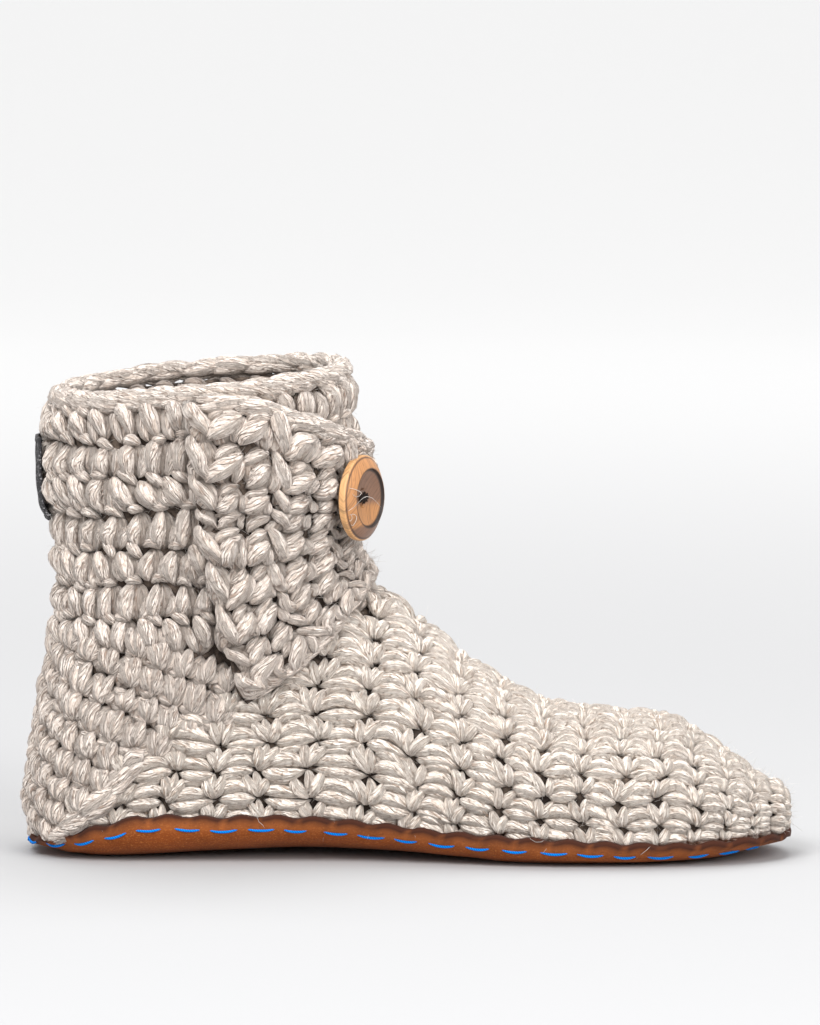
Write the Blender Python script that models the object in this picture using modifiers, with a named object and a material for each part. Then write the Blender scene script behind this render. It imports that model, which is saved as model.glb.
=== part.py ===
"""Left house slipper: a crocheted wool bootie on a turned-up suede sole, with a buttoned ankle flap.

X runs from heel to toe, Y towards the outer side of the foot, Z up. The origin is the middle of
the heel's flat spot on the floor. All sizes are in metres.
"""

import math
from functools import lru_cache
from typing import NamedTuple

import bmesh
import bpy
import numpy as np
from mathutils import Matrix, Vector

MM = 0.001

# Driving sizes of the last, measured on the outside of the wool
FOOT_LENGTH = 260.5 * MM
HEEL_REST = 31.0 * MM
BALL_WIDTH = 98.0 * MM
HEEL_WIDTH = 73.0 * MM
INSTEP_HEIGHT = 67.0 * MM
ANKLE_HEIGHT = 118.0 * MM
CUFF_HEIGHT = 45.0 * MM
COLLAR_LENGTH = 104.0 * MM
COLLAR_WIDTH = 88.0 * MM
TOE_SPRING = 7.0 * MM
ARCH_LIFT = 3.0 * MM

# Walls and clearances
WOOL = 6.0 * MM
SUEDE = 2.3 * MM
FOOTBED = 4.0 * MM
FLAP = 5.7 * MM
TAB = 1.3 * MM
EDGE_CHAIN = 8.0 * MM
GAP = 0.40 * MM
LAY_GAP = 0.75 * MM
FOOTBED_GAP = 1.1 * MM
FLOOR_SKIM = 0.5 * MM

# Button
BUTTON_WIDTH = 29.0 * MM
BUTTON_EDGE = 2.4 * MM
BUTTON_RISE = 1.3 * MM
BOWL_WIDTH = 18.4 * MM
BOWL_DEPTH = 2.0 * MM
BOWL_STEP = 0.6 * MM
BUTTON_ROUND_OFF = 0.3 * MM
THREAD_HOLE = 2.2 * MM
THREAD_HOLE_SPACING = 5.0 * MM
BUTTON_ABOVE_ANKLE = 5.2 * MM
BUTTON_FACING = 27.0

# Back tab
TAB_WIDTH = 27.0 * MM
TAB_HEIGHT = 27.0 * MM
TAB_ABOVE_ANKLE = 11.0 * MM

# The footbed's oval: how far its ends lie from the ends of the foot, in rows, and how far it
# spreads at its middle and at its ends, in degrees to each side of the underside's middle
FOOTBED_TOE_ROWS = 2.7
FOOTBED_HEEL_ROWS = 0.4
FOOTBED_SPREAD = 54.0
FOOTBED_END_SPREAD = 6.0

# How finely the pieces are divided
AROUND = 36
OUTER_PER_ROW = 2
INNER_PER_ROW = 1
FOOTBED_STEPS = (24, 8)
FLAP_STEPS = (16, 10)
TAB_STEPS = 6
RIM_STEPS = 64
TURNING_STEPS = 40
CUTTER_REACH = 90.0 * MM


class FootRow(NamedTuple):
    """An upright section of the foot. at is a share of FOOT_LENGTH from the heel, top of INSTEP_HEIGHT,
    lift of TOE_SPRING, and ridge, medial and lateral of BALL_WIDTH."""

    at: float
    top: float
    lift: float
    ridge: float
    medial: float
    lateral: float
    widest: float
    crown: float
    base: float


class AnkleRow(NamedTuple):
    """A slanted section from the instep to the heel. front and back are shares of FOOT_LENGTH, high
    and low of ANKLE_HEIGHT, arch of ARCH_LIFT, and ridge, medial and lateral of HEEL_WIDTH."""

    front: float
    high: float
    back: float
    low: float
    arch: float
    ridge: float
    medial: float
    lateral: float
    widest: float
    crown: float
    base: float


class ShaftRow(NamedTuple):
    """A ring of the shaft. rise_front and rise_back are shares of CUFF_HEIGHT above ANKLE_HEIGHT, back
    and length of COLLAR_LENGTH, and width of COLLAR_WIDTH."""

    rise_front: float
    rise_back: float
    back: float
    length: float
    width: float
    widest: float
    round: float


FOOT = (
    FootRow(1.000, 0.250, 1.90, -0.100, 0.000, 0.000, 0.50, 2.0, 2.0),
    FootRow(0.998, 0.308, 1.10, -0.102, 0.085, 0.085, 0.50, 2.0, 2.2),
    FootRow(0.989, 0.355, 0.75, -0.105, 0.155, 0.160, 0.52, 2.0, 2.6),
    FootRow(0.967, 0.415, 0.52, -0.103, 0.232, 0.250, 0.55, 2.0, 3.0),
    FootRow(0.937, 0.490, 0.38, -0.101, 0.294, 0.330, 0.58, 2.0, 3.6),
    FootRow(0.891, 0.605, 0.20, -0.097, 0.350, 0.418, 0.60, 2.0, 4.2),
    FootRow(0.840, 0.705, 0.08, -0.087, 0.390, 0.485, 0.60, 2.1, 4.8),
    FootRow(0.772, 0.724, 0.00, -0.075, 0.418, 0.545, 0.58, 2.1, 5.0),
    FootRow(0.695, 0.755, 0.00, -0.062, 0.430, 0.570, 0.58, 2.1, 5.0),
    FootRow(0.630, 0.868, 0.02, -0.050, 0.427, 0.560, 0.62, 2.1, 4.6),
    FootRow(0.572, 1.000, 0.16, -0.040, 0.414, 0.535, 0.66, 2.1, 4.0),
)

ANKLE = (
    AnkleRow(0.532, 0.641, 0.473, 0.014, 0.7, -0.045, 0.512, 0.665, 0.70, 2.1, 3.6),
    AnkleRow(0.500, 0.700, 0.367, 0.018, 1.0, -0.030, 0.488, 0.605, 0.74, 2.1, 3.3),
    AnkleRow(0.474, 0.742, 0.247, 0.010, 0.7, -0.015, 0.488, 0.550, 0.77, 2.1, 3.2),
    AnkleRow(0.451, 0.784, 0.105, 0.000, 0.0, 0.000, 0.500, 0.515, 0.77, 2.1, 2.9),
    AnkleRow(0.433, 0.816, 0.015, 0.018, 0.0, 0.000, 0.505, 0.515, 0.73, 2.1, 2.4),
    AnkleRow(0.420, 0.858, -0.004, 0.125, 0.0, 0.000, 0.508, 0.515, 0.67, 2.1, 2.2),
    AnkleRow(0.413, 0.903, 0.009, 0.350, 0.0, 0.000, 0.515, 0.520, 0.60, 2.1, 2.2),
    AnkleRow(0.412, 0.958, 0.031, 0.600, 0.0, 0.000, 0.530, 0.535, 0.55, 2.1, 2.2),
)

SHAFT = (
    ShaftRow(0.00, -0.40, 0.093, 0.955, 0.925, 0.52, 2.15),
    ShaftRow(0.10, -0.10, 0.091, 0.966, 0.930, 0.51, 2.15),
    ShaftRow(0.22, 0.06, 0.064, 0.999, 0.955, 0.50, 2.2),
    ShaftRow(0.45, 0.32, 0.055, 1.014, 0.980, 0.50, 2.2),
    ShaftRow(0.75, 0.58, 0.060, 1.019, 1.000, 0.50, 2.2),
    ShaftRow(1.00, 0.80, 0.075, 0.990, 0.990, 0.50, 2.2),
)


class RimRow(NamedTuple):
    """Height of the suede's upper edge. at is a share of FOOT_LENGTH, high of RIM_HEIGHT."""

    at: float
    high: float


RIM_HEIGHT = 16.2 * MM
RIM = (
    RimRow(-0.100, 0.22),
    RimRow(0.000, 0.24),
    RimRow(0.030, 0.36),
    RimRow(0.085, 0.66),
    RimRow(0.150, 0.97),
    RimRow(0.205, 1.00),
    RimRow(0.245, 0.94),
    RimRow(0.310, 0.98),
    RimRow(0.400, 0.89),
    RimRow(0.490, 0.75),
    RimRow(0.545, 0.66),
    RimRow(0.620, 0.60),
    RimRow(0.700, 0.54),
    RimRow(0.780, 0.45),
    RimRow(0.860, 0.41),
    RimRow(0.940, 0.45),
    RimRow(1.000, 0.43),
    RimRow(1.100, 0.43),
)


class FlapRow(NamedTuple):
    """A line across the flap, from its low edge to its high edge. reach is a share of the root's turn
    round the shaft; low and high are shares of ANKLE_HEIGHT on the shaft's front."""

    reach: float
    low: float
    high: float


class RootRow(NamedTuple):
    """A place on the flap's root. up is a share of the way to the high edge, turn in degrees round
    the shaft from its front."""

    up: float
    turn: float


FLAP_ROWS = (
    FlapRow(1.00, 0.790, 1.325),
    FlapRow(0.80, 0.776, 1.295),
    FlapRow(0.60, 0.771, 1.260),
    FlapRow(0.35, 0.776, 1.220),
    FlapRow(0.08, 0.782, 1.180),
    FlapRow(-0.11, 0.792, 1.155),
    FlapRow(-0.24, 0.840, 1.110),
)

FLAP_ROOT = (
    RootRow(0.00, 65.0),
    RootRow(0.09, 62.0),
    RootRow(0.18, 63.0),
    RootRow(0.35, 75.0),
    RootRow(0.52, 88.0),
    RootRow(1.00, 92.0),
)


class FlapEdge(NamedTuple):
    """Shares of the flap over which its thickness grows from a least share of FLAP to the whole."""

    root: float
    edge: float
    least: float


FLAP_EDGE = FlapEdge(0.12, 0.07, 0.45)


class Section(NamedTuple):
    """A section of the last between its top or front point and its low or back point."""

    top_x: float
    top_z: float
    low_x: float
    low_z: float
    arch: float
    ridge: float
    medial: float
    lateral: float
    widest: float
    crown: float
    base: float


def seat_height():
    """Height of the wool's underside over a flat spot of the suede."""
    return SUEDE + GAP - FLOOR_SKIM


def sections():
    """All sections of the last in order, from the toe's tip to the collar."""
    rows = []
    for row in FOOT:
        x = FOOT_LENGTH * row.at - HEEL_REST
        rows.append(Section(
            x, INSTEP_HEIGHT * row.top, x, seat_height() + TOE_SPRING * row.lift, 0.0,
            BALL_WIDTH * row.ridge, BALL_WIDTH * row.medial, BALL_WIDTH * row.lateral,
            row.widest, row.crown, row.base,
        ))
    for row in ANKLE:
        rows.append(Section(
            FOOT_LENGTH * row.front - HEEL_REST, ANKLE_HEIGHT * row.high,
            FOOT_LENGTH * row.back - HEEL_REST, seat_height() + ANKLE_HEIGHT * row.low,
            ARCH_LIFT * row.arch, HEEL_WIDTH * row.ridge, HEEL_WIDTH * row.medial,
            HEEL_WIDTH * row.lateral, row.widest, row.crown, row.base,
        ))
    for row in SHAFT:
        back = COLLAR_LENGTH * row.back - HEEL_REST
        half = COLLAR_WIDTH * row.width / 2
        rows.append(Section(
            back + COLLAR_LENGTH * row.length, ANKLE_HEIGHT + CUFF_HEIGHT * row.rise_front,
            back, ANKLE_HEIGHT + CUFF_HEIGHT * row.rise_back,
            0.0, 0.0, half, half, row.widest, row.round, row.round,
        ))
    return rows


def monotone(values, at):
    """Reads a smooth curve through values at whole stations, with no overshoot between them."""
    slopes = np.diff(values)
    total = slopes[:-1] + slopes[1:]
    level = slopes[:-1] * slopes[1:] <= 0
    inner = np.where(level, 0.0, 2 * slopes[:-1] * slopes[1:] / np.where(level, 1.0, total))
    tangents = np.concatenate([slopes[:1], inner, slopes[-1:]])
    i = min(max(int(at), 0), len(slopes) - 1)
    t = at - i
    return float(
        values[i] * (2 * t**3 - 3 * t**2 + 1) + tangents[i] * (t**3 - 2 * t**2 + t)
        + values[i + 1] * (3 * t**2 - 2 * t**3) + tangents[i + 1] * (t**3 - t**2)
    )


ROWS = np.array(sections())
COLLAR = len(ROWS) - 1
ANKLE_START = len(FOOT) - 1
HEEL_START = ANKLE_START + 5
TOE_ROW = 0.5
INNER_TOE_ROW = 3.2


@lru_cache(maxsize=None)
def section_at(u):
    """The section at a place between the rows; u counts rows from the toe's tip."""
    return Section(*(monotone(column, u) for column in ROWS.T))


def signed_power(value, exponent):
    return math.copysign(abs(value) ** exponent, value)


def on_section(u, turn, shrink=0.0):
    """A point of the section at u. turn is in degrees from its top, positive on the inner side of
    the foot. shrink draws the section in from all sides, for the wall's inner face."""
    s = section_at(u)
    chord = Vector((s.low_x - s.top_x, 0.0, s.low_z - s.top_z))
    length = chord.length
    down = chord / length if length > 0 else Vector((0.0, 0.0, -1.0))
    across, along = math.sin(math.radians(turn)), math.cos(math.radians(turn))
    half = (s.medial if across >= 0 else s.lateral) - shrink
    above, below = s.widest * length - shrink, (1 - s.widest) * length - shrink
    exponent, reach = (2 / s.crown, above) if along >= 0 else (2 / s.base, below)
    depth = s.widest * length - reach * signed_power(along, exponent)
    if along < 0 < across:
        depth -= s.arch * math.sin(math.radians(2 * (turn - 90)))
    point = Vector((s.top_x, s.ridge, s.top_z)) + down * depth
    point.y -= half * signed_power(across, exponent)
    return point


def outward(u, turn):
    """The direction out of the wool there, from points a little to each side."""
    step, angle, least = 0.04, 1.5, 0.05
    here = max(u, least)
    onward = on_section(min(here + step, COLLAR), turn) - on_section(here - step, turn)
    around = on_section(here, turn + angle) - on_section(here, turn - angle)
    return onward.cross(around).normalized()


def on_wool(u, turn, out=0.0):
    """A point at a distance outside the wool's outer face."""
    if u <= 0.0:
        return on_section(0.0, 0.0) + Vector((out, 0.0, 0.0))
    return on_section(u, turn) + out * outward(u, turn)


def station_of_front(height):
    """The place along the ankle and shaft whose front point has this height."""
    stations = np.linspace(ANKLE_START, COLLAR, 400)
    return float(np.interp(height, [section_at(float(u)).top_z for u in stations], stations))


def station_of_back(height):
    """The place along the heel and shaft whose back point has this height."""
    stations = np.linspace(HEEL_START, COLLAR, 400)
    return float(np.interp(height, [section_at(float(u)).low_z for u in stations], stations))


def material(name, colour, roughness):
    made = bpy.data.materials.new(name)
    made.use_nodes = True
    shader = made.node_tree.nodes["Principled BSDF"]
    shader.inputs["Base Color"].default_value = (*colour, 1.0)
    shader.inputs["Roughness"].default_value = roughness
    shader.inputs["Metallic"].default_value = 0.0
    return made


def add_object(name, mesh, collection, finish=None):
    made = bpy.data.objects.new(name, mesh)
    collection.objects.link(made)
    if finish:
        made.data.materials.append(finish)
    return made


def lofted(name, rings, first=None, last=None):
    """A closed mesh through rings of as many points each. first and last are single end points; an
    end without one is closed by a flat face."""
    bm = bmesh.new()
    loops = [[bm.verts.new(point) for point in ring] for ring in rings]
    count = len(loops[0])
    for near, far in zip(loops, loops[1:]):
        for i in range(count):
            j = (i + 1) % count
            bm.faces.new((near[i], near[j], far[j], far[i]))
    for loop, end in ((loops[0], first), (loops[-1], last)):
        if end is None:
            bm.faces.new(loop)
            continue
        tip = bm.verts.new(end)
        for i in range(count):
            bm.faces.new((loop[i], loop[(i + 1) % count], tip))
    bmesh.ops.recalc_face_normals(bm, faces=bm.faces)
    mesh = bpy.data.meshes.new(name)
    bm.to_mesh(mesh)
    bm.free()
    return mesh


def smooth(made, degrees=40.0):
    """Shades a round piece smooth, with its sharp edges kept."""
    made.data.shade_smooth()
    made.data.set_sharp_from_angle(angle=math.radians(degrees))


def boolean(made, cutter, operation):
    """Applies a cut or a join to a mesh object and leaves the cutter hidden."""
    step = made.modifiers.new(f"{operation.lower()}_{cutter.name}", "BOOLEAN")
    step.object = cutter
    step.operation = operation
    step.solver = "EXACT"
    cutter.hide_render = True
    cutter.display_type = "WIRE"


TURNS = [360.0 * i / AROUND for i in range(AROUND)]


def ring(u, out=0.0):
    return [on_wool(u, turn, out) for turn in TURNS]


def inner_ring(u):
    return [on_section(u, turn, WOOL) for turn in TURNS]


def stations(start, end, per_row):
    """Evenly spaced places between two rows, per_row of them for each row."""
    count = max(round((end - start) * per_row), 1)
    return [start + (end - start) * i / count for i in range(count + 1)]


def collar_chain():
    """Rings of the chain along the collar's edge, a bead that rolls from the outer face inwards."""
    radius, seat, under_rows = EDGE_CHAIN / 2, 0.8, 0.3
    outer, inner, lower = ring(COLLAR), inner_ring(COLLAR), ring(COLLAR - under_rows)
    rings = []
    for degrees in (-20, 20, 60, 100, 140, 200):
        angle = math.radians(degrees)
        level = []
        for out, within, under in zip(outer, inner, lower):
            across, up = (out - within).normalized(), (out - under).normalized()
            rise = seat + math.sin(angle)
            level.append((out + within) / 2 + across * radius * math.cos(angle) + up * radius * rise)
        rings.append(level)
    return rings


def pad(name, lines, low, high):
    """A closed pad along the wool. lines holds rows of (u, turn) places; low and high give each
    face's distance outside the wool at shares i, j of the rows."""
    m, n = len(lines), len(lines[0])
    bm = bmesh.new()
    faces = []
    for height in (low, high):
        grid = [
            [on_wool(u, turn, height(i / (m - 1), j / (n - 1))) for j, (u, turn) in enumerate(line)]
            for i, line in enumerate(lines)
        ]
        faces.append([[bm.verts.new(point) for point in line] for line in grid])
    under, over = faces
    for i in range(m - 1):
        for j in range(n - 1):
            bm.faces.new((under[i][j], under[i][j + 1], under[i + 1][j + 1], under[i + 1][j]))
            bm.faces.new((over[i][j], over[i + 1][j], over[i + 1][j + 1], over[i][j + 1]))
    border = [(0, j) for j in range(n - 1)] + [(i, n - 1) for i in range(m - 1)]
    border += [(m - 1, j) for j in range(n - 1, 0, -1)] + [(i, 0) for i in range(m - 1, 0, -1)]
    for (i, j), (p, q) in zip(border, border[1:] + border[:1]):
        bm.faces.new((under[i][j], over[i][j], over[p][q], under[p][q]))
    bmesh.ops.recalc_face_normals(bm, faces=bm.faces)
    mesh = bpy.data.meshes.new(name)
    bm.to_mesh(mesh)
    bm.free()
    return mesh


def stretch_at(u, turn):
    """Metres that the wool's face covers for each row along it and for each degree round it."""
    little = 0.05
    along = (on_section(u + little, turn) - on_section(u, turn)).length / little
    around = (on_section(u, turn + little) - on_section(u, turn)).length / little
    return along, around


def footbed_lines(margin=0.0):
    """Places under the foot, from the toes to the heel, in an oval that stays inside the wall.
    margin widens it all round."""
    first, last = FOOTBED_TOE_ROWS, HEEL_START - FOOTBED_HEEL_ROWS
    first -= margin / stretch_at(first, 180.0)[0]
    last += margin / stretch_at(last, 180.0)[0]
    along, across = FOOTBED_STEPS
    lines = []
    for i in range(along + 1):
        place = -math.cos(math.pi * i / along)
        u = (first + last) / 2 + place * (last - first) / 2
        half = FOOTBED_END_SPREAD + (FOOTBED_SPREAD - FOOTBED_END_SPREAD) * (1 - abs(place) ** 5) ** 0.5
        line = []
        for j in range(across + 1):
            side = 2 * j / across - 1
            wider = margin / stretch_at(u, 180.0 + half * side)[1]
            line.append((u, 180.0 + (half + wider) * side))
        lines.append(line)
    return lines


def add_upper(collection, cutters, wool):
    """The crocheted foot and shaft in one wall, open at the collar and over the footbed."""
    outer = [ring(u) for u in stations(TOE_ROW, COLLAR, OUTER_PER_ROW)]
    inner = [inner_ring(u) for u in reversed(stations(INNER_TOE_ROW, COLLAR, INNER_PER_ROW))]
    section, tip = section_at(INNER_TOE_ROW), section_at(0.0)
    toe_inside = Vector((tip.top_x - WOOL, section.ridge, (section.top_z + section.low_z) / 2))
    mesh = lofted("upper", outer + collar_chain() + inner, on_wool(0.0, 0.0), toe_inside)
    upper = add_object("upper", mesh, collection, wool)
    smooth(upper)
    lines = footbed_lines(FOOTBED_GAP)
    through = pad("footbed_opening", lines, lambda i, j: -2 * WOOL, lambda i, j: WOOL / 2)
    boolean(upper, add_object("footbed_opening", through, cutters), "DIFFERENCE")


def add_footbed(collection, felt):
    """The insole, inside the opening of the wool's underside."""
    mesh = pad("insole", footbed_lines(), lambda i, j: -GAP - FOOTBED, lambda i, j: -GAP)
    smooth(add_object("insole", mesh, collection, felt))


def below_rim(name):
    """A block from the floor up to the suede's wavy upper edge."""
    heights = np.array([row.high * RIM_HEIGHT for row in RIM])
    places = np.array([row.at * FOOT_LENGTH - HEEL_REST for row in RIM])
    outline = [(places[0], 0.0)]
    for i in range(RIM_STEPS + 1):
        at = (len(RIM) - 1) * i / RIM_STEPS
        outline.append((monotone(places, at), monotone(heights, at)))
    outline.append((places[-1], 0.0))
    bm = bmesh.new()
    face = bm.faces.new([bm.verts.new((x, -CUTTER_REACH, z)) for x, z in outline])
    drawn = bmesh.ops.extrude_face_region(bm, geom=[face])
    moved = [v for v in drawn["geom"] if isinstance(v, bmesh.types.BMVert)]
    bmesh.ops.translate(bm, verts=moved, vec=(0.0, 2 * CUTTER_REACH, 0.0))
    bmesh.ops.recalc_face_normals(bm, faces=bm.faces)
    mesh = bpy.data.meshes.new(name)
    bm.to_mesh(mesh)
    bm.free()
    return mesh


def last_form(name, out):
    """The whole foot as one closed form, a distance outside the wool."""
    rings = [ring(u, out) for u in stations(TOE_ROW, HEEL_START + 5, OUTER_PER_ROW)]
    return lofted(name, rings, on_wool(0.0, 0.0, out))


def add_outsole(collection, cutters, suede):
    """The suede sole, turned up round the wool to its wavy edge, with flat spots to stand on."""
    outsole = add_object("outsole", last_form("outsole", GAP + SUEDE), collection, suede)
    boolean(outsole, add_object("sole_inside", last_form("sole_inside", GAP), cutters), "DIFFERENCE")
    boolean(outsole, add_object("below_rim", below_rim("below_rim"), cutters), "INTERSECT")
    smooth(outsole)


def flap_lines():
    """Places of the flap over the shaft, from its root on the inner side round to its free end."""
    reach, low, high = np.array(FLAP_ROWS).T
    up, root_turn = np.array(FLAP_ROOT).T
    along, across = FLAP_STEPS
    lines = []
    for i in range(along + 1):
        at = (len(FLAP_ROWS) - 1) * i / along
        start = station_of_front(ANKLE_HEIGHT * monotone(low, at))
        end = station_of_front(ANKLE_HEIGHT * monotone(high, at))
        shares = [j / across for j in range(across + 1)]
        lines.append([
            (start + (end - start) * share, monotone(reach, at) * float(np.interp(share, up, root_turn)))
            for share in shares
        ])
    return lines


def flap_rise(i, j):
    """Height of the flap's face over the wool: thin at its root and rounded at its free edges."""
    root, edge, least = FLAP_EDGE
    from_edge = min((1 - i) / edge, j / edge, (1 - j) / edge, i / root, 1.0)
    return LAY_GAP + FLAP * (least + (1 - least) * math.sin(from_edge * math.pi / 2))


def add_flap(collection, wool):
    """The second layer that wraps from the inner side over the shaft's front."""
    mesh = pad("ankle_flap", flap_lines(), lambda i, j: LAY_GAP, flap_rise)
    smooth(add_object("ankle_flap", mesh, collection, wool))


def add_tab(collection, tape):
    """The bare woven tab on the back of the shaft."""
    height, span = ANKLE_HEIGHT + TAB_ABOVE_ANKLE, 10.0
    start = station_of_back(height - TAB_HEIGHT / 2)
    middle = station_of_back(height)
    end = station_of_back(height + TAB_HEIGHT / 2)
    half = span * TAB_WIDTH / 2 / (on_wool(middle, 180.0 - span) - on_wool(middle, 180.0)).length
    shares = [i / TAB_STEPS for i in range(TAB_STEPS + 1)]
    lines = [[(start + (end - start) * i, 180.0 + half * (2 * j - 1)) for j in shares] for i in shares]
    mesh = pad("back_tab", lines, lambda i, j: LAY_GAP, lambda i, j: LAY_GAP + TAB)
    smooth(add_object("back_tab", mesh, collection, tape))


def button_profile():
    """Half outline of the button, down from the middle of its bowl to the middle of its back."""
    outer, bowl = BUTTON_WIDTH / 2, BOWL_WIDTH / 2
    top = BUTTON_EDGE + BUTTON_RISE
    dish = [
        (bowl * share, top - BOWL_STEP - (BOWL_DEPTH - BOWL_STEP) * (1 - share**2))
        for share in (0.0, 0.35, 0.65, 0.9, 0.98)
    ]
    rim = [
        (bowl, top),
        (outer - BUTTON_ROUND_OFF, BUTTON_EDGE),
        (outer, BUTTON_EDGE - BUTTON_ROUND_OFF),
        (outer, BUTTON_ROUND_OFF),
    ]
    return dish + rim + [(outer - BUTTON_ROUND_OFF, 0.0), (0.0, 0.0)]


def button_seat(face):
    """The middle of the button's back, where a flat disc that faces this way first meets the flap."""
    height = ANKLE_HEIGHT + BUTTON_ABOVE_ANKLE
    start, end = station_of_front(height - BUTTON_WIDTH), station_of_front(height + BUTTON_WIDTH)
    near = [
        on_wool(u, turn, LAY_GAP + FLAP)
        for u in np.linspace(start, end, 41).tolist()
        for turn in range(0, 60, 3)
    ]
    middle = max((p for p in near if abs(p.z - height) < BUTTON_WIDTH / 6), key=face.dot)
    middle.z = height
    under = [p for p in near if ((p - middle) - face * face.dot(p - middle)).length < BUTTON_WIDTH / 2]
    return middle + face * (max(face.dot(p) for p in under) - face.dot(middle) + GAP)


def add_button(collection, cutters, wood):
    """The turned wooden button, upright against the flap."""
    face = Vector((math.cos(math.radians(BUTTON_FACING)), -math.sin(math.radians(BUTTON_FACING)), 0.0))
    seat = button_seat(face)
    bm = bmesh.new()
    points = [bm.verts.new((r, 0.0, z)) for r, z in button_profile()]
    for start, end in zip(points, points[1:]):
        bm.edges.new((start, end))
    mesh = bpy.data.meshes.new("button")
    bm.to_mesh(mesh)
    bm.free()
    button = add_object("button", mesh, collection, wood)
    turning = button.modifiers.new("turned", "SCREW")
    turning.steps = turning.render_steps = TURNING_STEPS
    turning.use_merge_vertices = True
    turning.merge_threshold = 0.00005
    button.matrix_world = Matrix.Translation(seat) @ face.to_track_quat("Z", "Y").to_matrix().to_4x4()
    for side in (-1, 1):
        bpy.ops.mesh.primitive_cylinder_add(
            vertices=16,
            radius=THREAD_HOLE / 2,
            depth=4 * (BUTTON_EDGE + BUTTON_RISE),
            location=(0.0, side * THREAD_HOLE_SPACING / 2, 0.0),
        )
        drill = bpy.context.object
        drill.name = f"thread_hole_{(side + 3) // 2}"
        drill.matrix_world = button.matrix_world @ drill.matrix_world
        for home in drill.users_collection:
            home.objects.unlink(drill)
        cutters.objects.link(drill)
        boolean(button, drill, "DIFFERENCE")
    smooth(button, 30.0)


def main():
    for old in list(bpy.data.objects):
        bpy.data.objects.remove(old)
    slipper = bpy.data.collections.new("house_slipper")
    cutters = bpy.data.collections.new("cutters")
    for collection in (slipper, cutters):
        bpy.context.scene.collection.children.link(collection)
    wool = material("wool", (0.70, 0.63, 0.56), 0.95)
    flap_wool = material("flap_wool", (0.66, 0.59, 0.53), 0.95)
    suede = material("suede", (0.42, 0.17, 0.07), 0.85)
    felt = material("felt", (0.62, 0.55, 0.48), 0.95)
    wood = material("wood", (0.52, 0.29, 0.13), 0.45)
    tape = material("tape", (0.05, 0.05, 0.055), 0.8)
    add_outsole(slipper, cutters, suede)
    add_footbed(slipper, felt)
    add_upper(slipper, cutters, wool)
    add_flap(slipper, flap_wool)
    add_tab(slipper, tape)
    add_button(slipper, cutters, wood)


main()
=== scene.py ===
"""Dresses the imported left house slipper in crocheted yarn, suede, thread, wood and woven tape.

All sizes are in metres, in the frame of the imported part: X runs from heel to toe, Y towards the
outer side of the left foot and Z up from the floor. The last repeats the part's own sections, and
every yarn, stitch and edge is laid on it.
"""

import logging
import math
from contextlib import contextmanager
from dataclasses import dataclass, field
from enum import Enum
from typing import Any, Callable, Iterator, NamedTuple, Sequence

import bmesh
import bpy
import numpy as np
from bpy.types import Material, Mesh, Object
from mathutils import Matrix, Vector
from mathutils.bvhtree import BVHTree


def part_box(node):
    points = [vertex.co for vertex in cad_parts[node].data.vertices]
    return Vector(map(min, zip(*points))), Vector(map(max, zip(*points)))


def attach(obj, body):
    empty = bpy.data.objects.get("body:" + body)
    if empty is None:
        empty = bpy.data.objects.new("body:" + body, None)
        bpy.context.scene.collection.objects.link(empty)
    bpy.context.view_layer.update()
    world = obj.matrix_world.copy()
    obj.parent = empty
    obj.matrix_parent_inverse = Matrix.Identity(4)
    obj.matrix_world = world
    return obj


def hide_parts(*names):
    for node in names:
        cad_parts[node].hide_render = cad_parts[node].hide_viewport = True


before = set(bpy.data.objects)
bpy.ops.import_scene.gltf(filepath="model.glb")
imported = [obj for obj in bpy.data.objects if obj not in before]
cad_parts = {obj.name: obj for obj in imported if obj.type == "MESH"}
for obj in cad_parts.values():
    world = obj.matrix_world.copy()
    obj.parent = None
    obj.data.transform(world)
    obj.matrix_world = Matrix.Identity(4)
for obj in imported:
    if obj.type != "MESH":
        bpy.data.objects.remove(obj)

MM = 0.001
WELD = 0.02 * MM
BODY = "root"
Colour = tuple[float, float, float]
Sockets = dict[str, Any]
Array = np.ndarray
Pairs = tuple[tuple[float, float], ...]
log = logging.getLogger("house_slipper")


class Slot(Enum):
    """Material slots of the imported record."""

    SUEDE = "suede"
    FELT = "felt"
    WOOL = "wool"
    FLAP_WOOL = "flap_wool"
    TAPE = "tape"
    WOOD = "wood"


class Side(Enum):
    """Sides of a left foot, as the sign of Y."""

    INNER = -1
    OUTER = 1


# Shader expressions


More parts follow.
